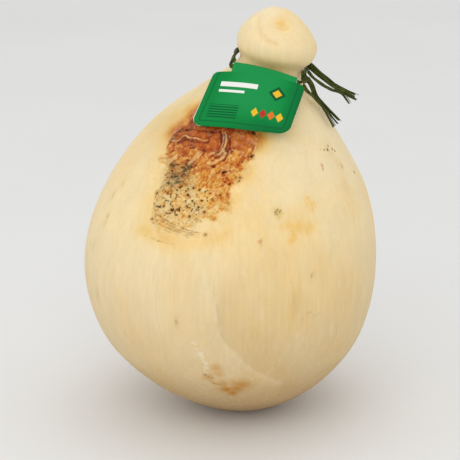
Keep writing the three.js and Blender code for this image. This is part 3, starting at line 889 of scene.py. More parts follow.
def marked(turn, height):
    """Where the rind has the patch or a mark"""
    points = form(turn, height)
    found = inside(np.column_stack([turn, height]) * FLAT, HALO) > 0
    for line in ALL_LINES:
        found |= line_distance(points, line) < MARK_MARGIN
    for *place, size, _ in ALL_MARKS:
        found |= place_distance(points, place) < size + MARK_MARGIN
    return found & (height > BODY_STEP)


def split_faces(mesh, chosen, cuts):
    """Splits the faces that have only chosen vertices"""
    work = bmesh.new()
    work.from_mesh(mesh)
    edges = {edge for face in work.faces if all(chosen[v.index] for v in face.verts) for edge in face.edges}
    bmesh.ops.subdivide_edges(work, edges=list(edges), cuts=cuts, use_grid_fill=True)
    work.to_mesh(mesh)
    work.free()


def unevenness(points, pitch):
    """The sum of crossing waves, as in the solid"""
    total = np.zeros(len(points))
    for i in range(WAVES):
        angle = i * GOLDEN_ANGLE
        direction = np.array([math.cos(angle), math.sin(angle), math.cos(WAVE_TILT * i)])
        along = points @ (direction / np.linalg.norm(direction)) / (pitch * (1 + WAVE_LENGTHENING * i))
        total += np.sin(2 * math.pi * along + i * i)
    return total / WAVES


def between(value, low, high):
    above = smoothstep(value, low - CRAGS_FADE, low + CRAGS_FADE)
    return above * falling(value, high - CRAGS_FADE, high + CRAGS_FADE)


def crag_share(turn, height):
    """How much a place belongs to the craggy patch"""
    left, right = (
        np.interp(height, [level for _, level in limit], [value for value, _ in limit])
        for limit in (CRAGS_LEFT, CRAGS_RIGHT)
    )
    return between(turn, left, right) * between(height, CRAGS_BOTTOM, CRAGS_TOP)


class Rind:
    """What the rind's places have in common, and its masks and relief worked out from them"""

    def __init__(self, turn, height, points):
        self.turn, self.height, self.points = turn, height, points
        self.flat = np.column_stack([turn, height]) * FLAT
        self.strokes = self.flat @ STROKES
        self.ragged = noises(points, RAGGED_NOISE)
        self.depth = inside(self.flat, PATCH)
        soft = smoothstep(turn, *SOFT_TURNS) * falling(height, *SOFT_TOP)
        soft = np.maximum(soft, falling(height, *SOFT_FOOT))
        self.patch = self.zone(self.depth, mix(*PATCH_SOFTNESS, soft))
        self.orange = self.zone(inside(self.flat, ORANGE), ORANGE_SOFTNESS)
        self.red = self.zone(inside(self.flat, RED), RED_SOFTNESS)
        self.rough = self.patch * (1 - RED_SMOOTHNESS * self.red)
        self.veins = noise(self.strokes, *VEIN_NOISE)
        self.crumbs = sum(
            weight * np.abs(noise(self.strokes, pitch, seed)) for weight, pitch, seed in CRUMB_NOISE
        )
        self.grit = noises(self.strokes, GRIT_STROKES) + noises(points, GRIT_NOISE)
        shaken = self.shaken("folds")
        self.crests = [line_distance(shaken, line) for line, *_ in CRESTS]
        self.grooves = [line_distance(shaken, line) for line in GROOVES]
        self.cracks = [line_distance(shaken, line) for line in CRACKS]
        self.press = line_distance(points, PRESS_LINE)
        self.across = self.signed_press()
        self.right = smoothstep(self.across, -PRESS_EDGE, PRESS_EDGE)
        self.crease = bell(line_distance(points, HEAD_CREASE), CREASE_WIDTH)
        self.lip = bell(line_distance(points, PIT_LIP), LIP_WIDTH)
        self.pit = bell(place_distance(points, PIT), PIT_RADIUS)
        self.specks = self.speck_mask()

    def shaken(self, mark):
        """The points with small shifts that make the edges of a kind of mark ragged"""
        reach, pitch = WANDER[mark]
        shifts = [noise(self.points, pitch, seed) for seed in WANDER_SEEDS]
        return self.points + reach * np.column_stack(shifts)

    def zone(self, depth, softness):
        return smoothstep(depth + self.ragged, -softness, softness)

    def broken(self, kind):
        """Gaps by chance in a line"""
        return mix(GAP_STRENGTH, 1, smoothstep(noises(self.points, GAP_NOISE[kind]), *GAP_LIMITS))

    def relief(self):
        """How far the rind stands off the smooth form"""
        lumps = LUMP_HEIGHT * unevenness(self.points, LUMP_PITCH) + noises(self.points, RIPPLE_NOISE)
        rise = smoothstep(self.height, 0, LUMPS_START) * lumps
        rise -= HOLLOW_DEPTH * bell(place_distance(self.points, HOLLOW), HOLLOW_RADIUS)
        rise += ROLL_RISE * bell(line_distance(self.points, HEAD_ROLL), ROLL_WIDTH)
        rise += self.press_step() - CREASE_DEPTH * self.crease - PIT_DEPTH * self.pit
        return rise + self.patch_relief()

    def patch_relief(self):
        """The crags, folds, crests, grooves, cracks, crumbs and specks of the patch"""
        share = crag_share(self.turn, self.height)
        rise = share * CRAG_HEIGHT * np.abs(unevenness(self.points, CRAG_PITCH))
        for line, width, lift in FOLDS:
            rise += share * lift * bell(line_distance(self.points, line), width)
        for gap, (_, width, pale) in zip(self.crests, CRESTS):
            rise += CREST_RISE * pale * bell(gap, CREST_SPREAD * width)
        for gap in self.grooves:
            rise -= GROOVE_DEPTH * bell(gap, GROOVE_WIDTH)
        for gap in self.cracks:
            rise -= CRACK_DEPTH * bell(gap, CRACK_WIDTH)
        rise += self.rough * (CRUMB_RISE * (self.crumbs - CRUMB_LEVEL) + GRIT_RISE * self.grit)
        return rise + FINE_GRIT_RISE * self.patch * self.grit - SPECK_DEPTH * self.specks

    def signed_press(self):
        """Distance to the pressed line, less than 0 on its left"""
        limit = np.interp(self.height, *zip(*[(level, turn) for turn, level in PRESS_LINE[::-1]]))
        return np.where(self.turn > limit, self.press, -self.press)

    def press_step(self):
        """A low step along the line that pressing left, sunken on its right"""
        sunken = PRESS_STEP * self.right * bell(self.press, PRESS_WIDTH)
        return PRESS_RIDGE * bell(self.press, LINE_WIDTH) - sunken

    def speck_mask(self):
        """Dark specks, ragged, some of them strewn by chance"""
        listed = spots(self.shaken("specks"), SPECKS, crisp=True)
        crowding = sum(spots(self.points, [zone]) for zone in SPECKLE_ZONES)
        chance = noises(self.points, SPECKLE_NOISE) + CROWDING * crowding
        strewn = smoothstep(chance, *SPECKLE_LIMITS) * smoothstep(crowding, *CROWDING_LIMITS)
        return np.maximum(listed, STREWN_SPECKS * strewn * self.patch)

    def browning(self):
        """From plain rind at 0 to dark red-brown at 1"""
        level = self.halo() + spots(self.points, WARMTH) + self.patch * self.patch_browning()
        outside = np.maximum(-self.depth - GLOW_RAGGEDNESS * self.ragged, 0)
        level = np.maximum(level, spots(self.points, GLOWS) * np.exp(-outside / GLOW_REACH))
        grit = BROWN["grit"] * self.grit * (1 - GRIT_IN_RED * self.red)
        level += self.patch * (noises(self.points, CLOUD_NOISE) - grit)
        level -= BROWN["crumbs"] * self.rough * (self.crumbs - CRUMB_TONE)
        level += BROWN["veins"] * self.rough * bell(self.veins, VEIN_WIDTH)
        strip = bell(line_distance(self.shaken("orange strip"), ORANGE_STRIP), STRIP_WIDTH)
        level += BROWN["orange strip"] * self.patch * strip
        # Painted shade along both sides of each pale crest, broken by chance
        broken = self.broken("edges")
        for gap, (_, width, pale) in zip(self.crests, CRESTS):
            level += CREST_EDGE_SHADE * pale * broken * bell(gap - CREST_EDGE * width, CREST_EDGE_WIDTH * width)
        # Grooves painted darker, partly as shade in their hollows
        for gap in self.grooves:
            level += GROOVE_SHADE * broken * bell(gap, GROOVE_WIDTH)
        # The pit's own browner tone, and the crease and the pit's lip browned partly as painted shade
        level += BROWN["pit"] * self.pit + BROWN["crease"] * self.crease + BROWN["lip"] * self.lip
        return np.clip(level, 0, 1)

    def halo(self):
        """Yellower rind round the patch and below it"""
        around = smoothstep(inside(self.flat, HALO) + HALO_RAGGEDNESS * self.ragged, *HALO_FADE)
        strip = bell(line_distance(self.points, HALO_STRIP), HALO_STRIP_WIDTH)
        return BROWN["halo"] * around + BROWN["halo strip"] * strip * (1 + noises(self.points, HALO_NOISE))

    def patch_browning(self):
        """From ochre at the patch's foot over orange to red below the tag"""
        high = smoothstep(self.height, *OCHRE_HEIGHTS)
        orange = self.orange * (BROWN["orange"] + BROWN["high orange"] * high)
        red = BROWN["red"] * self.red * (1 - RED_FADE * smoothstep(self.turn, *RED_FADE_TURNS))
        veil = BROWN["veil"] * spots(self.points, VEIL)
        return BROWN["patch"] + orange + red + veil + spots(self.points, EMBERS)

    def wan(self):
        """The greenish pale part of the patch, and the shoulder on its left"""
        uneven = smoothstep(self.grit + WAN_RAGGEDNESS * self.ragged, *WAN_LIMITS)
        high = smoothstep(self.height, *WAN_HEIGHTS)
        patch = WAN_STRENGTH * self.patch * (1 - self.orange) * high * uneven
        return np.maximum(patch, spots(self.points, WAN_EDGE))

    def tan(self):
        """Darker rind along the pressed line, on its right, on the left shoulder and in the middle"""
        fields = spots(self.points, TAN_FIELDS)
        gap = segment_distances(self.points, line_on_form(PRESS_LINE))
        beside = TAN_STRENGTH * self.right * bell(gap, TAN_WIDTH)
        edge = TAN_EDGE["strength"] * bell(self.across - TAN_EDGE["offset"], TAN_EDGE["width"])
        pressed = np.maximum(beside, fields) + edge * smoothstep(self.height, *EDGE_HEIGHTS)
        return mix(fields, pressed, falling(self.height, *PRESS_TOP))

    def neck(self):
        """Yellow-olive painted shade under the head, partly the rind's own yellower tone"""
        band = bell(self.height - NECK_LEVEL, NECK_BAND)
        return NECK_SHADE_STRENGTH * band * bell(self.turn - NECK_TURN, NECK_SPREAD)

    def pale(self):
        """Pale crests of the folds, partly painted highlight, and small pale crumbs"""
        broken = self.broken("crests")
        crests = [pale * bell(gap, width) * broken for gap, (_, width, pale) in zip(self.crests, CRESTS)]
        crumbs = PALE_CRUMBS * self.patch * (1 - PALE_CRUMBS_IN_RED * self.red)
        return np.maximum.reduce([*crests, crumbs * smoothstep(self.crumbs, *PALE_CRUMB_LIMITS)])

    def veil(self):
        """A thin brownish veil round the mould"""
        patchy = VEIL_MEAN + noises(self.points, VEIL_NOISE)
        return np.clip(spots(self.shaken("veil"), VEIL) * patchy, 0, 1)

    def mould(self):
        """Clumps of mould"""
        clumps = smoothstep(noises(self.points, CLUMP_NOISE), *CLUMP_LIMITS)
        return spots(self.shaken("mould"), MOULD) * mix(THIN_MOULD, 1, clumps)

    def rust(self):
        """Brown stain round the specks and between them"""
        stains = [(*place, RUST_SPREAD * size, RUST_STRENGTH * strength) for *place, size, strength in SPECKS]
        chance = noises(self.strokes, RUST_STROKES) + noises(self.points, RUST_NOISE)
        strewn = STREWN_RUST * smoothstep(chance, *RUST_LIMITS) * self.patch * (1 - self.orange)
        return np.maximum(spots(self.shaken("rust"), stains), strewn)

    def umber(self):
        """Small brown marks"""
        return spots(self.shaken("brown"), ALL_BROWN, SQUEEZE["brown"])

    def dark(self):
        """Specks, cracks, hairlines and dots"""
        cracks = [CRACK_DARKNESS * bell(gap, CRACK_WIDTH) for gap in self.cracks]
        shaken = self.shaken("hairlines")
        gaps = [line_distance(shaken, line) for line in ALL_HAIRLINES]
        hairlines = [HAIRLINE_DARKNESS * bell(gap, HAIRLINE_WIDTH) for gap in gaps]
        broken = smoothstep(noises(self.points, HAIRLINE_NOISE), *HAIRLINE_LIMITS)
        lines = broken * np.maximum.reduce(cracks + hairlines)
        return np.maximum.reduce([self.specks, lines, spots(self.shaken("foot dots"), FOOT_DOTS)])

    def stain(self):
        """Ochre stain low on the front"""
        shaken = self.shaken("foot lines")
        stains = [spots(self.shaken("foot stain"), FOOT_STAIN)]
        for line, strength in FOOT_STAIN_LINES:
            stains.append(strength * bell(line_distance(shaken, line), LINE_WIDTH))
        return np.maximum.reduce(stains)

    def smudge(self):
        """Faint olive smudges"""
        return spots(self.shaken("smudges"), ALL_SMUDGES, SQUEEZE["smudges"])

    def blot(self):
        """Yellow blots"""
        return BLOT_STRENGTH * spots(self.shaken("blots"), ALL_BLOTS)

    def olive(self):
        """Olive dots"""
        return spots(self.shaken("olive"), OLIVE_MARKS, crisp=True)

    def chalk_and_highlight(self):
        """Whitish: the scratch and flecks, both sides of the pressed line, and painted highlight on the head
        and the upper right
        """
        flaky = smoothstep(noises(self.points, FLAKE_NOISE), *FLAKE_LIMITS)
        gap = line_distance(self.shaken("scratch"), SCRATCH)
        scratch = WHITE["scratch"] * bell(gap, SCRATCH_WIDTH) * flaky
        flecks = spots(self.shaken("flecks"), PALE_FLECKS, SQUEEZE["flecks"])
        rim = mix(WHITE["low rim"], WHITE["high rim"], smoothstep(self.height, *EDGE_HEIGHTS))
        rim *= bell(self.across + RIM_OFFSET, RIM_WIDTH)
        left = WHITE["left"] * (1 - self.right) * smoothstep(self.turn, *LEFT_TURNS)
        left *= falling(self.height, *LEFT_TOP) * smoothstep(self.height, *LEFT_FOOT)
        # Painted highlight on the head, more on its left
        side = smoothstep(np.sin(np.radians(self.turn)), *HEAD_SIDES)
        head = mix(WHITE["head left"], WHITE["head right"], side)
        head *= smoothstep(self.height, *HEAD_HEIGHTS) * (1 - self.pit)
        # Painted highlight on the upper right
        upper = WHITE["upper right"] * smoothstep(self.turn, *RIGHT_STARTS) * falling(self.turn, *RIGHT_ENDS)
        upper *= smoothstep(self.height, *UPPER_HEIGHTS) * (self.height < NECK_HEIGHT)
        return np.maximum.reduce([scratch, rim, left, flecks, head, upper])


def build_cheese():
    mesh = smooth_cheese()
    turn, height = read_values(mesh, "turn"), read_values(mesh, "height")
    radius = np.interp(height, PROFILE[:, 1], PROFILE[:, 0])
    radius = np.where(height > 0, radius, read_values(mesh, "radius"))
    points = form(turn, height, radius)
    write_points(mesh, points)
    rind = Rind(turn, height, points)
    rise = np.where(height > 0, rind.relief(), 0)
    write_points(mesh, points + read_normals(mesh) * rise[:, None])
    for name in ("browning", *(layer for layer, _, _ in RIND_LAYERS)):
        write_values(mesh, name, getattr(rind, name)())
    for name in ("turn", "height", "radius"):
        mesh.attributes.remove(mesh.attributes[name])
    piece = new_object("cheese_rind", mesh, rind_material())
    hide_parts("cheese")
    return piece


# Tag
TAG_AXES = np.array(Matrix.Rotation(TAG_TURN, 3, "Z") @ Matrix.Rotation(TAG_SLOPE, 3, "X"))


def from_tag(points):
    """Points of the tag's frame in the object's frame"""
    return np.asarray(points) @ TAG_AXES.T + TAG_CENTRE


def tag_bow(x):
    """How far the card bows back towards the cheese"""
    radius = np.where(x > BOW_START, BOW_RADIUS["right"], BOW_RADIUS["left"])
    return (x - BOW_START) ** 2 / (2 * radius)


def corner_inset(distance, radius):
    short = max(radius - distance, 0)
    return radius - math.sqrt(radius**2 - short**2)


def tag_lines():
    """Lines across the card from the front's bottom edge over the fold to the back's: the level of each,
    0 at the bottom, 1 at the shoulder and 2 at the fold, its two ends and its turn about the fold"""
    height = TAG_SHOULDER - TAG_BOTTOM
    quarter = np.linspace(0, math.pi / 2, CORNER_ROWS)
    bottom = CORNER_BOTTOM * (1 - np.cos(quarter))
    top = height - CORNER_SHOULDER * (1 - np.cos(quarter))[::-1]
    middle = np.linspace(bottom[-1], top[0], LEAF_ROWS)[1:-1]
    leaf = []
    for rise in np.concatenate([bottom, middle, top]):
        inset = corner_inset(rise, CORNER_BOTTOM) + corner_inset(height - rise, CORNER_SHOULDER)
        share = rise / height
        left = mix(TAG_LEFT["bottom"], TAG_LEFT["shoulder"], share) + inset
        right = mix(TAG_RIGHT["bottom"], TAG_RIGHT["shoulder"], share) - inset
        leaf.append((share, left, right))
    leaf.append((TAB_LEVEL, TAB_LEFT, TAB_RIGHT))
    front = [(*line, 0) for line in leaf]
    fold = [(2, TAB_LEFT, TAB_RIGHT, angle) for angle in np.linspace(0, math.pi, FOLD_ROWS)]
    back = [(*line, math.pi) for line in leaf[::-1]]
    return front + fold + back


def tag_middle(line, across):
    """The middle of the card along one of its lines"""
    level, left, right, angle = line
    x = mix(left, right, across)
    turned = (1 - math.cos(angle)) / 2
    bottom = TAG_BOTTOM + SWEEP_RISE * np.maximum(x - SWEEP_START, 0) ** 2 + LEAF_LIFT * turned
    fold = mix(FOLD_LEFT, FOLD_RIGHT, (x - TAB_LEFT) / (TAB_RIGHT - TAB_LEFT))
    y = mix(bottom, TAG_SHOULDER, level) if level <= 1 else mix(TAG_SHOULDER, fold, level - 1)
    gap = mix(LEAF_GAP, 2 * FOLD_RADIUS, level / 2)
    return np.column_stack([
        x + LEAF_SHIFT * turned,
        y + FOLD_RADIUS * math.sin(angle),
        -tag_bow(x) - gap * turned,
    ])


def card_faces(rows, columns):
    """Quads of the card's outer side, and those of the rim that joins it to the inner side"""
    index = np.arange(rows * columns).reshape(rows, columns)
    quads = np.stack([index[:-1, :-1], index[:-1, 1:], index[1:, 1:], index[1:, :-1]], axis=-1).reshape(-1, 4)
    rim = np.concatenate([index[0, :-1], index[:-1, -1], index[-1, :0:-1], index[:0:-1, 0]])
    beside = np.roll(rim, -1)
    return quads, np.stack([beside, rim, rim + index.size, beside + index.size], axis=-1)


def build_tag():
    lines = tag_lines()
    across = np.linspace(0, 1, TAG_COLUMNS)
    middles = np.array([tag_middle(line, across) for line in lines])
    outward = np.array([(0, math.sin(angle), math.cos(angle)) for *_, angle in lines])[:, None, :]
    outer, inner = middles + outward * CARD / 2, middles - outward * CARD / 2
    points = from_tag(np.concatenate([outer.reshape(-1, 3), inner.reshape(-1, 3)]))
    quads, edges = card_faces(len(lines), TAG_COLUMNS)
    far_quads = quads[:, ::-1] + len(lines) * TAG_COLUMNS
    mesh = new_mesh("card_tag", points, quads.tolist() + far_quads.tolist() + edges.tolist())
    flat = middles.reshape(-1, 3)
    front = np.repeat([1.0 if angle < math.pi / 2 else -1.0 for *_, angle in lines], TAG_COLUMNS)
    inset = tag_inset(lines, across).ravel()
    places = {"card_x": flat[:, 0], "card_y": flat[:, 1], "card_front": front, "card_inset": inset}
    for name, values in places.items():
        write_values(mesh, name, np.tile(values, 2))
    piece = new_object("card_tag", mesh, print_material(), card_material())
    # The rim is printed along the front's bottom edge and most of its right edge
    printed_rim = [PRINTED] * (TAG_COLUMNS - 1 + len(lines) // 3)
    bare_rim = [BARE] * (len(edges) - len(printed_rim))
    sides = [PRINTED] * len(quads) + [BARE] * len(quads)
    mesh.polygons.foreach_set("material_index", sides + printed_rim + bare_rim)
    sharp = mesh.attributes.new("sharp_face", "BOOLEAN", "FACE")
    sharp.data.foreach_set("value", [False] * len(sides) + [True] * len(edges))
    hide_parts("tag")
    return piece


def tag_inset(lines, across):
    """How far each place of the card's leaves is from the nearest edge, large on the tab"""
    height = TAG_SHOULDER - TAG_BOTTOM
    insets = []
    for level, left, right, _ in lines:
        sides = np.minimum(across, 1 - across) * (right - left)
        insets.append(np.minimum(sides, level * height) if level <= 1 else np.full(len(across), height))
    return np.array(insets)


# Raffia
def along_line(points):
    """Distance along a line at each of its points"""
    return np.concatenate([[0], np.cumsum(np.linalg.norm(np.diff(points, axis=0), axis=1))])


def evenly(points, step):
    """The same line with a point about every step"""
    length = along_line(points)
    count = max(int(length[-1] / step), 2)
    at = np.linspace(0, length[-1], count)
    return np.column_stack([np.interp(at, length, points[:, axis]) for axis in range(3)])


def frames(points):
    """Two sides of a line at each of its points, turning as little as they can, and the way it runs"""
    ways = np.gradient(points, axis=0)
    ways /= np.linalg.norm(ways, axis=1)[:, None]
    side = np.cross(ways[0], (0, 1, 0))
    sides = []
    for way in ways:
        side = side - way * (side @ way)
        side = side / np.linalg.norm(side)
        sides.append(side)
    sides = np.array(sides)
    return sides, np.cross(ways, sides), ways


def ribbon(points, width, thickness, twist, seed, taper=0.0):
    """A creased flat strip along a line: vertices, faces, and their places along it and across it"""
    draw = np.random.default_rng(seed)
    sides, seconds, ways = frames(points)
    length = along_line(points)
    share = length / length[-1]
    phase = draw.uniform(0, 2 * math.pi)
    turn = 2 * math.pi * twist * share + STRAND_SWAY * np.sin(2 * math.pi * SWAY_WAVES * share + phase)
    swell = 1 + STRAND_SWELL * np.sin(2 * math.pi * SWELL_WAVES * share + phase)
    wide = width / 2 * swell * (1 - taper * share**2)
    around = np.linspace(0, 2 * math.pi, STRAND_SIDES, endpoint=False)
    crease = draw.uniform(*STRAND_CREASE) * draw.choice((-1, 1))
    fibres = 1.0
    for i, (count, rise) in enumerate(STRAND_RIDGES.items(), 1):
        fibres = fibres + rise * np.sin(count * around + i * phase)
    x = wide[:, None] * np.cos(around)
    y = thickness * (np.sin(around) * fibres / 2 + crease * (np.cos(around) ** 2 - 0.5))
    u = x * np.cos(turn)[:, None] - y * np.sin(turn)[:, None]
    v = x * np.sin(turn)[:, None] + y * np.cos(turn)[:, None]
    rows = points[:, None] + u[..., None] * sides[:, None] + v[..., None] * seconds[:, None]
    rows[-1] += draw.uniform(-STRAND_CUT, STRAND_CUT, STRAND_SIDES)[:, None] * ways[-1]
    rings = np.vstack([points[:1], rows.reshape(-1, 3), points[-1:]])
    lengthwise = np.concatenate([[0], np.repeat(length, STRAND_SIDES), length[-1:]])
    across = np.concatenate([[0], np.tile(np.cos(around), len(points)), [0]])
    return rings, grid_faces(len(points), STRAND_SIDES), lengthwise, across


def strand_object(name, ribbons):
    """One piece from several ribbons"""
    points, faces, lengthwise, round_it = [], [], [], []
    start = 0
    for rings, quads, along, across in ribbons:
        points.append(rings)
        faces += [tuple(corner + start for corner in face) for face in quads]
        lengthwise.append(along)
        round_it.append(across)
        start += len(rings)
    mesh = new_mesh(name, np.vstack(points), faces)
    write_values(mesh, "strand_along", np.concatenate(lengthwise))
    write_values(mesh, "strand_across", np.concatenate(round_it))
    return new_object(name, mesh, bpy.data.materials.get("raffia_strands") or raffia_material())


def tail_strips(line, number):
    """Strips of raffia side by side that part near the cut end, and a fine fibre from a third of the way"""
    count, width, twist = (of_tail[number - 1] for of_tail in (TAIL_STRIPS, TAIL_WIDTHS, TAIL_TWISTS))
    draw = np.random.default_rng(STRAND_SEEDS["fray"] + number)
    sides, seconds, _ = frames(line)
    share = np.linspace(0, 1, len(line))[:, None]
    fray = smoothstep(share, FRAY_START, 1) * FRAY_REACH
    strips = []
    for i in range(count):
        offset = (i + 0.5) / count - 0.5
        apart = sides * (offset * (mix(*STRIP_SPACING, share) * width + fray))
        lifted = seconds * (STRIP_LIFT * (i % 2) + FRAY_LIFT * fray * offset)
        end = len(line) - (int(draw.integers(*STRIP_SHORTENING)) if i else 0)
        seed = STRAND_SEEDS["tail"] + number + len(TAILS) * i
        strip = (line + apart + lifted)[:end]
        strips.append(ribbon(strip, STRIP_WIDENING * width / count, TAIL_THICKNESS, twist, seed))
    fibre = line + sides * (FIBRE_OFFSET * width + FIBRE_SPREAD * share**2)
    fibre = fibre + seconds * FIBRE_SWAY * np.sin(FIBRE_WAVE * share)
    seed = STRAND_SEEDS["fibre"] + number
    strips.append(ribbon(fibre[len(line) // 3 :], FIBRE_WIDTH, FIBRE_THICKNESS, 1, seed, FIBRE_TAPER))
    return strips


def build_tail(number, route):
    """A loose end of the tie"""
    line = evenly(spline(route, ROUTE_STEPS), STRAND_STEP)
    piece = strand_object(f"raffia_end_{number}", tail_strips(line, number))
    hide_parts(f"raffia_tail_{number}")
    return piece


def fold_middle(across):
    """The middle of the tag's fold, at a share of the way across"""
    x = mix(TAB_LEFT, TAB_RIGHT, across)
    return from_tag([x, mix(FOLD_LEFT, FOLD_RIGHT, across), -float(tag_bow(x)) - FOLD_RADIUS])


def wound(line, radius, turns, phase):
    """A line wound round another"""
    sides, seconds, _ = frames(line)
    angle = phase + 2 * math.pi * turns * np.linspace(0, 1, len(line))[:, None]
    return line + radius * (sides * np.cos(angle) + seconds * np.sin(angle))


def tail_root(loop, number, route):
    """The short length that joins a loose end to the tie"""
    start, after = np.array(route[:2])
    nearest = loop[np.argmin(np.linalg.norm(loop - start, axis=1))]
    route = [nearest, start, mix(start, after, ROOT_OVERLAP)]
    line = evenly(spline(route, ROOT_STEPS), SHORT_STEP)
    width = ROOT_NARROWING * TAIL_WIDTHS[number - 1]
    return ribbon(line, width, TAIL_THICKNESS, 0, STRAND_SEEDS["root"] + number, ROOT_TAPER)


def build_loop():
    """Two strands twisted together round the neck, the knot over them and the roots of the loose ends"""
    loop = spline([*map(fold_middle, FOLD_STRETCH), *NECK_STRETCH], ROUTE_STEPS, closed=True)
    loop = evenly(np.vstack([loop, loop[:1]]), STRAND_STEP)
    flat = (LOOP_STRAND_WIDTH, LOOP_STRAND_THICKNESS)
    ribbons = []
    for i, phase in enumerate((0, math.pi)):
        strand = wound(loop, LOOP_STRAND_OFFSET, LOOP_TWISTS, phase)
        ribbons.append(ribbon(strand, *flat, LOOP_TWISTS, STRAND_SEEDS["loop"] + i))
    near = np.where(np.linalg.norm(loop - KNOT_CENTRE, axis=1) < KNOT_REACH)[0]
    knot = evenly(loop[near[0] : near[-1] + 1], FINE_STEP)
    winding = evenly(wound(knot, KNOT_RADIUS, KNOT_TURNS, 0), SHORT_STEP)
    ribbons.append(ribbon(winding, *flat, KNOT_TWIST, STRAND_SEEDS["knot"]))
    ribbons += [tail_root(loop, number, route) for number, route in enumerate(TAILS, 1)]
    piece = strand_object("raffia_tie", ribbons)
    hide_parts("raffia_loop")
    return piece


# Materials
def new_material(name):
    material = bpy.data.materials.new(name)
    material.use_nodes = True
    return material, material.node_tree, material.node_tree.nodes["Principled BSDF"]


def set_inputs(tree, node, inputs):
    """Sets a node's inputs to values or joins them to other nodes' outputs"""
    for socket, value in dict(inputs).items():
        if isinstance(value, bpy.types.NodeSocket):
            tree.links.new(value, node.inputs[socket])
        else:
            node.inputs[socket].default_value = value


def add_node(tree, kind, inputs=(), **settings):
    """A node of a kind, with its inputs and settings"""
    made = tree.nodes.new(kind)
    for name, value in settings.items():
        setattr(made, name, value)
    set_inputs(tree, made, inputs)
    return made


def attribute(tree, name):
    return add_node(tree, "ShaderNodeAttribute", attribute_name=name).outputs["Fac"]


def blended(tree, share, first, second, blend="MIX"):
    """Two colours mixed by a share, each a colour or a node's output"""
    inputs = {0: share, 6: first, 7: second}
    return add_node(tree, "ShaderNodeMix", inputs, data_type="RGBA", blend_type=blend).outputs[2]


def math_node(tree, operation, *values):
    return add_node(tree, "ShaderNodeMath", enumerate(values), operation=operation).outputs[0]


def mapped(tree, value, low, high, to_low=0.0, to_high=1.0):
    """A value brought from one range to another, kept within it"""
    inputs = {0: value, 1: low, 2: high, 3: to_low, 4: to_high}
    return add_node(tree, "ShaderNodeMapRange", inputs, clamp=True).outputs[0]


def bumped(tree, height, strength, distance):
    """Fine unevenness of a surface, its distance in millimetres"""
    inputs = {"Strength": strength, "Distance": distance * MM, "Height": height}
    return add_node(tree, "ShaderNodeBump", inputs).outputs[0]


def noise_texture(tree, name):
    """One of the textures, in the object's own coordinates"""
    stretch, detail = TEXTURES[name]
    place = add_node(tree, "ShaderNodeTexCoord").outputs["Object"]
    scaled = add_node(tree, "ShaderNodeMapping", {"Vector": place, "Scale": stretch}).outputs[0]
    return add_node(tree, "ShaderNodeTexNoise", {"Vector": scaled, "Scale": 1.0, "Detail": detail}).outputs[0]


def colour_ramp(tree, share, stops):
    made = add_node(tree, "ShaderNodeValToRGB", {0: share})
    elements = made.color_ramp.elements
    while len(elements) < len(stops):
        elements.new(1)
    for element, (position, colour) in zip(elements, stops):
        element.position = position
        element.color = linear(colour)
    return made.outputs[0]


def rind_material():
    material, tree, surface = new_material("natural_rind")
    browning = attribute(tree, "browning")
    names = ("mottle", "flecks", "streaks", "clouds", "grain")
    mottle, flecks, streaks, clouds, grain = (noise_texture(tree, name) for name in names)
    uneven = mapped(tree, mottle, *RANGES["mottle"])
    colour = colour_ramp(tree, math_node(tree, "ADD", browning, uneven), BROWNING)
    # Darker towards the foot: partly the rind's own darker base, partly painted shade
    colour = blended(tree, foot_tan_and_shade(tree), colour, linear(TAN_AND_FOOT_SHADE))
    colour = blended(tree, mapped(tree, flecks, *RANGES["flecks"]), colour, linear(CHALK_AND_HIGHLIGHT))
    for name, blend, over in RIND_LAYERS:
        colour = blended(tree, attribute(tree, name), colour, linear(over), blend)
    lengthwise = math_node(tree, "ADD", math_node(tree, "ADD", streaks, clouds), grain)
    value = mapped(tree, lengthwise, *RANGES["lightness"])
    set_inputs(tree, surface, {
        "Base Color": add_node(tree, "ShaderNodeHueSaturation", {"Color": colour, "Value": value}).outputs[0],
        "Roughness": mapped(tree, browning, *RANGES["rind roughness"]),
        "Specular IOR Level": 0.12,
        "Subsurface Weight": 0.12,
        "Subsurface Radius": (1.0, 0.6, 0.3),
        "Subsurface Scale": 0.002,
        "Normal": bumped(tree, grain, strength=0.15, distance=0.3),
    })
    return material


def foot_tan_and_shade(tree):
    """How far the rind is darkened towards its foot: partly its own darker base, partly painted shade"""
    place = add_node(tree, "ShaderNodeTexCoord").outputs["Object"]
    level = add_node(tree, "ShaderNodeSeparateXYZ", {0: place}).outputs[2]
    shares = [mapped(tree, level, height * MM, 0.0, 0.0, darkened) for height, darkened in FOOT_TAN_AND_SHADE_SHARES]
    return math_node(tree, "ADD", *shares)


def field(tree, x, y, centre, half, slant=False):
    """1 inside a box or, slanted, a lozenge of the print, 0 outside"""
    gaps = [
        math_node(tree, "ABSOLUTE", math_node(tree, "SUBTRACT", place, middle))
        for place, middle in zip((x, y), centre)
    ]
    if slant:
        shares = [math_node(tree, "DIVIDE", gap, reach) for gap, reach in zip(gaps, half)]
        return mapped(tree, math_node(tree, "ADD", *shares), *RANGES["lozenge"])
    outside = [math_node(tree, "SUBTRACT", gap, reach) for gap, reach in zip(gaps, half)]
    return mapped(tree, math_node(tree, "MAXIMUM", *outside), *RANGES["bar"])


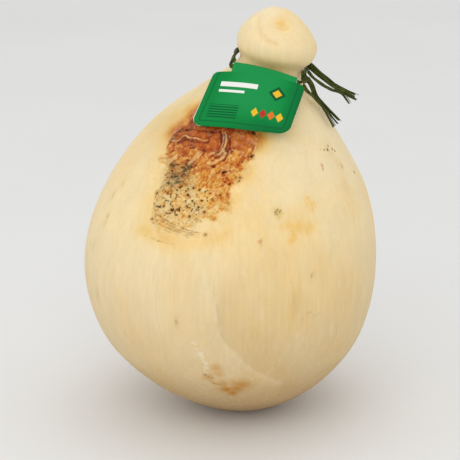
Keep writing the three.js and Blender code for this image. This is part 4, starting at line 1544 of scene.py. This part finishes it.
def print_layers(tree, x, y):
    """Lines, bars, lozenges and a badge, each with its colour, the lowest first"""
    rows = mapped(tree, math_node(tree, "PINGPONG", y, PRINT_LINE_PITCH), *RANGES["print lines"])
    lines = math_node(tree, "MULTIPLY", rows, field(tree, x, y, *PRINT_LINES))
    layers = [(lines, CARD_GREEN_DARK)]
    layers += [(field(tree, x, y, *bar), CARD_WHITE) for bar in PRINT_BARS]
    first, level = LOZENGE_FIRST
    for i, tint in enumerate(LOZENGE_TINTS):
        layers.append((field(tree, x, y, (first + LOZENGE_STEP * i, level), LOZENGE_HALF, slant=True), tint))
    for half, tint in zip(BADGE_HALVES, BADGE_TINTS):
        layers.append((field(tree, x, y, BADGE_PLACE, (half, half), slant=True), tint))
    return layers


def print_material():
    """Green print of plain bars, lines and lozenges, with painted sheen in the middle and painted shade to
    the edges
    """
    material, tree, surface = new_material("green_print")
    x, y, inset = (attribute(tree, name) for name in ("card_x", "card_y", "card_inset"))
    front = mapped(tree, attribute(tree, "card_front"), *RANGES["front"])
    sheen = noise_texture(tree, "sheen")
    uneven_inset = math_node(tree, "ADD", inset, math_node(tree, "MULTIPLY", sheen, SHEEN_UNEVENNESS))
    # Painted sheen in the middle, and painted shade towards the edges, most on the right
    middle = mapped(tree, uneven_inset, *RANGES["sheen middle"])
    colour = blended(tree, middle, linear(CARD_GREEN), linear(CARD_GREEN_SHEEN))
    edges = mapped(tree, uneven_inset, *RANGES["shaded edges"])
    edge_shade = math_node(tree, "MULTIPLY", edges, mapped(tree, x, *RANGES["shaded right"]))
    border_gap = math_node(tree, "ABSOLUTE", math_node(tree, "SUBTRACT", inset, BORDER_INSET))
    border = mapped(tree, border_gap, *RANGES["border"])
    layers = [(edge_shade, CARD_GREEN_DARK), (border, CARD_GREEN_DARK), *print_layers(tree, x, y)]
    for share, over in layers:
        colour = blended(tree, math_node(tree, "MULTIPLY", share, front), colour, linear(over))
    set_inputs(tree, surface, {
        "Base Color": colour,
        "Roughness": mapped(tree, sheen, *RANGES["card roughness"]),
        "Specular IOR Level": 0.1,
        "Normal": bumped(tree, math_node(tree, "SUBTRACT", sheen, border), strength=0.4, distance=0.2),
    })
    return material


def card_material():
    """The card's bare inside and cut edges"""
    material, tree, surface = new_material("bare_card")
    fibres = mapped(tree, noise_texture(tree, "card"), *RANGES["card"])
    colour = blended(tree, fibres, linear(CARD_WHITE), linear(CARD_GREY))
    set_inputs(tree, surface, {"Base Color": colour, "Roughness": 0.7})
    return material


def raffia_material():
    """Green strands with fibres along them, with painted shade at their edges"""
    material, tree, surface = new_material("raffia_strands")
    stretched = [
        math_node(tree, "MULTIPLY", attribute(tree, name), knots) for name, knots in STRAND_KNOTS.items()
    ]
    place = add_node(tree, "ShaderNodeCombineXYZ", enumerate(stretched)).outputs[0]
    noise_inputs = {"Vector": place, "Scale": 1.0, "Detail": STRAND_DETAIL}
    fibres = add_node(tree, "ShaderNodeTexNoise", noise_inputs).outputs[0]
    from_middle = math_node(tree, "ABSOLUTE", attribute(tree, "strand_across"))
    # Painted shade towards each strand's edges
    edges = mapped(tree, from_middle, *RANGES["strand edge shade"])
    share = math_node(tree, "SUBTRACT", mapped(tree, fibres, *RANGES["strand fibres"]), edges)
    set_inputs(tree, surface, {
        "Base Color": colour_ramp(tree, share, RAFFIA_TONES),
        "Roughness": 0.6,
        "Specular IOR Level": 0.15,
        "Normal": bumped(tree, fibres, strength=0.6, distance=0.3),
    })
    return material


def floor_material():
    material, tree, surface = new_material("pale_floor")
    grain = mapped(tree, noise_texture(tree, "floor"), *RANGES["floor"])
    colour = blended(tree, grain, linear(FLOOR_PALE), linear(FLOOR_WHITE))
    set_inputs(tree, surface, {"Base Color": colour, "Roughness": 0.85, "Specular IOR Level": 0.1})
    return material


# Stage
def add_camera():
    data = bpy.data.cameras.new("camera")
    data.sensor_width = SENSOR
    data.lens = SENSOR * VIEW_DISTANCE / VIEW_WIDTH
    camera = bpy.data.objects.new("camera", data)
    back = np.array([0, -math.cos(VIEW_ELEVATION), math.sin(VIEW_ELEVATION)])
    camera.location = (np.array(VIEW_TARGET) + VIEW_DISTANCE * back) * MM
    camera.rotation_euler = (math.pi / 2 - VIEW_ELEVATION, 0, 0)
    bpy.context.scene.collection.objects.link(camera)
    bpy.context.scene.camera = camera


def add_floor():
    corners = [(x * FLOOR_HALF, y * FLOOR_HALF, 0) for x, y in ((-1, -1), (1, -1), (1, 1), (-1, 1))]
    floor = new_object("floor", new_mesh("floor", corners, [(0, 1, 2, 3)]), floor_material())


def add_light(name, place, size, watts):
    """A round soft light turned to the cheese"""
    data = bpy.data.lights.new(name, "AREA")
    data.shape = "DISK"
    data.size = size * MM
    data.energy = watts
    light = bpy.data.objects.new(name, data)
    light.location = np.array(place) * MM
    x, y, z = np.subtract(LIGHT_TARGET, place)
    light.rotation_euler = (math.atan2(math.hypot(x, y), -z), 0, math.atan2(-x, y))
    bpy.context.scene.collection.objects.link(light)


def add_world():
    world = bpy.data.worlds.new("studio")
    world.use_nodes = True
    background = world.node_tree.nodes["Background"]
    background.inputs["Color"].default_value = (1, 1, 1, 1)
    background.inputs["Strength"].default_value = WORLD_STRENGTH
    bpy.context.scene.world = world


add_camera()
pieces = [build_tail(number, route) for number, route in enumerate(TAILS, 1)]
pieces.append(build_loop())
pieces.append(build_tag())
pieces.append(build_cheese())
for piece in pieces:
    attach(piece, "root")
add_floor()
for name, light in LIGHTS.items():
    add_light(name, **light)
add_world()
bpy.context.scene.view_settings.view_transform = "Standard"
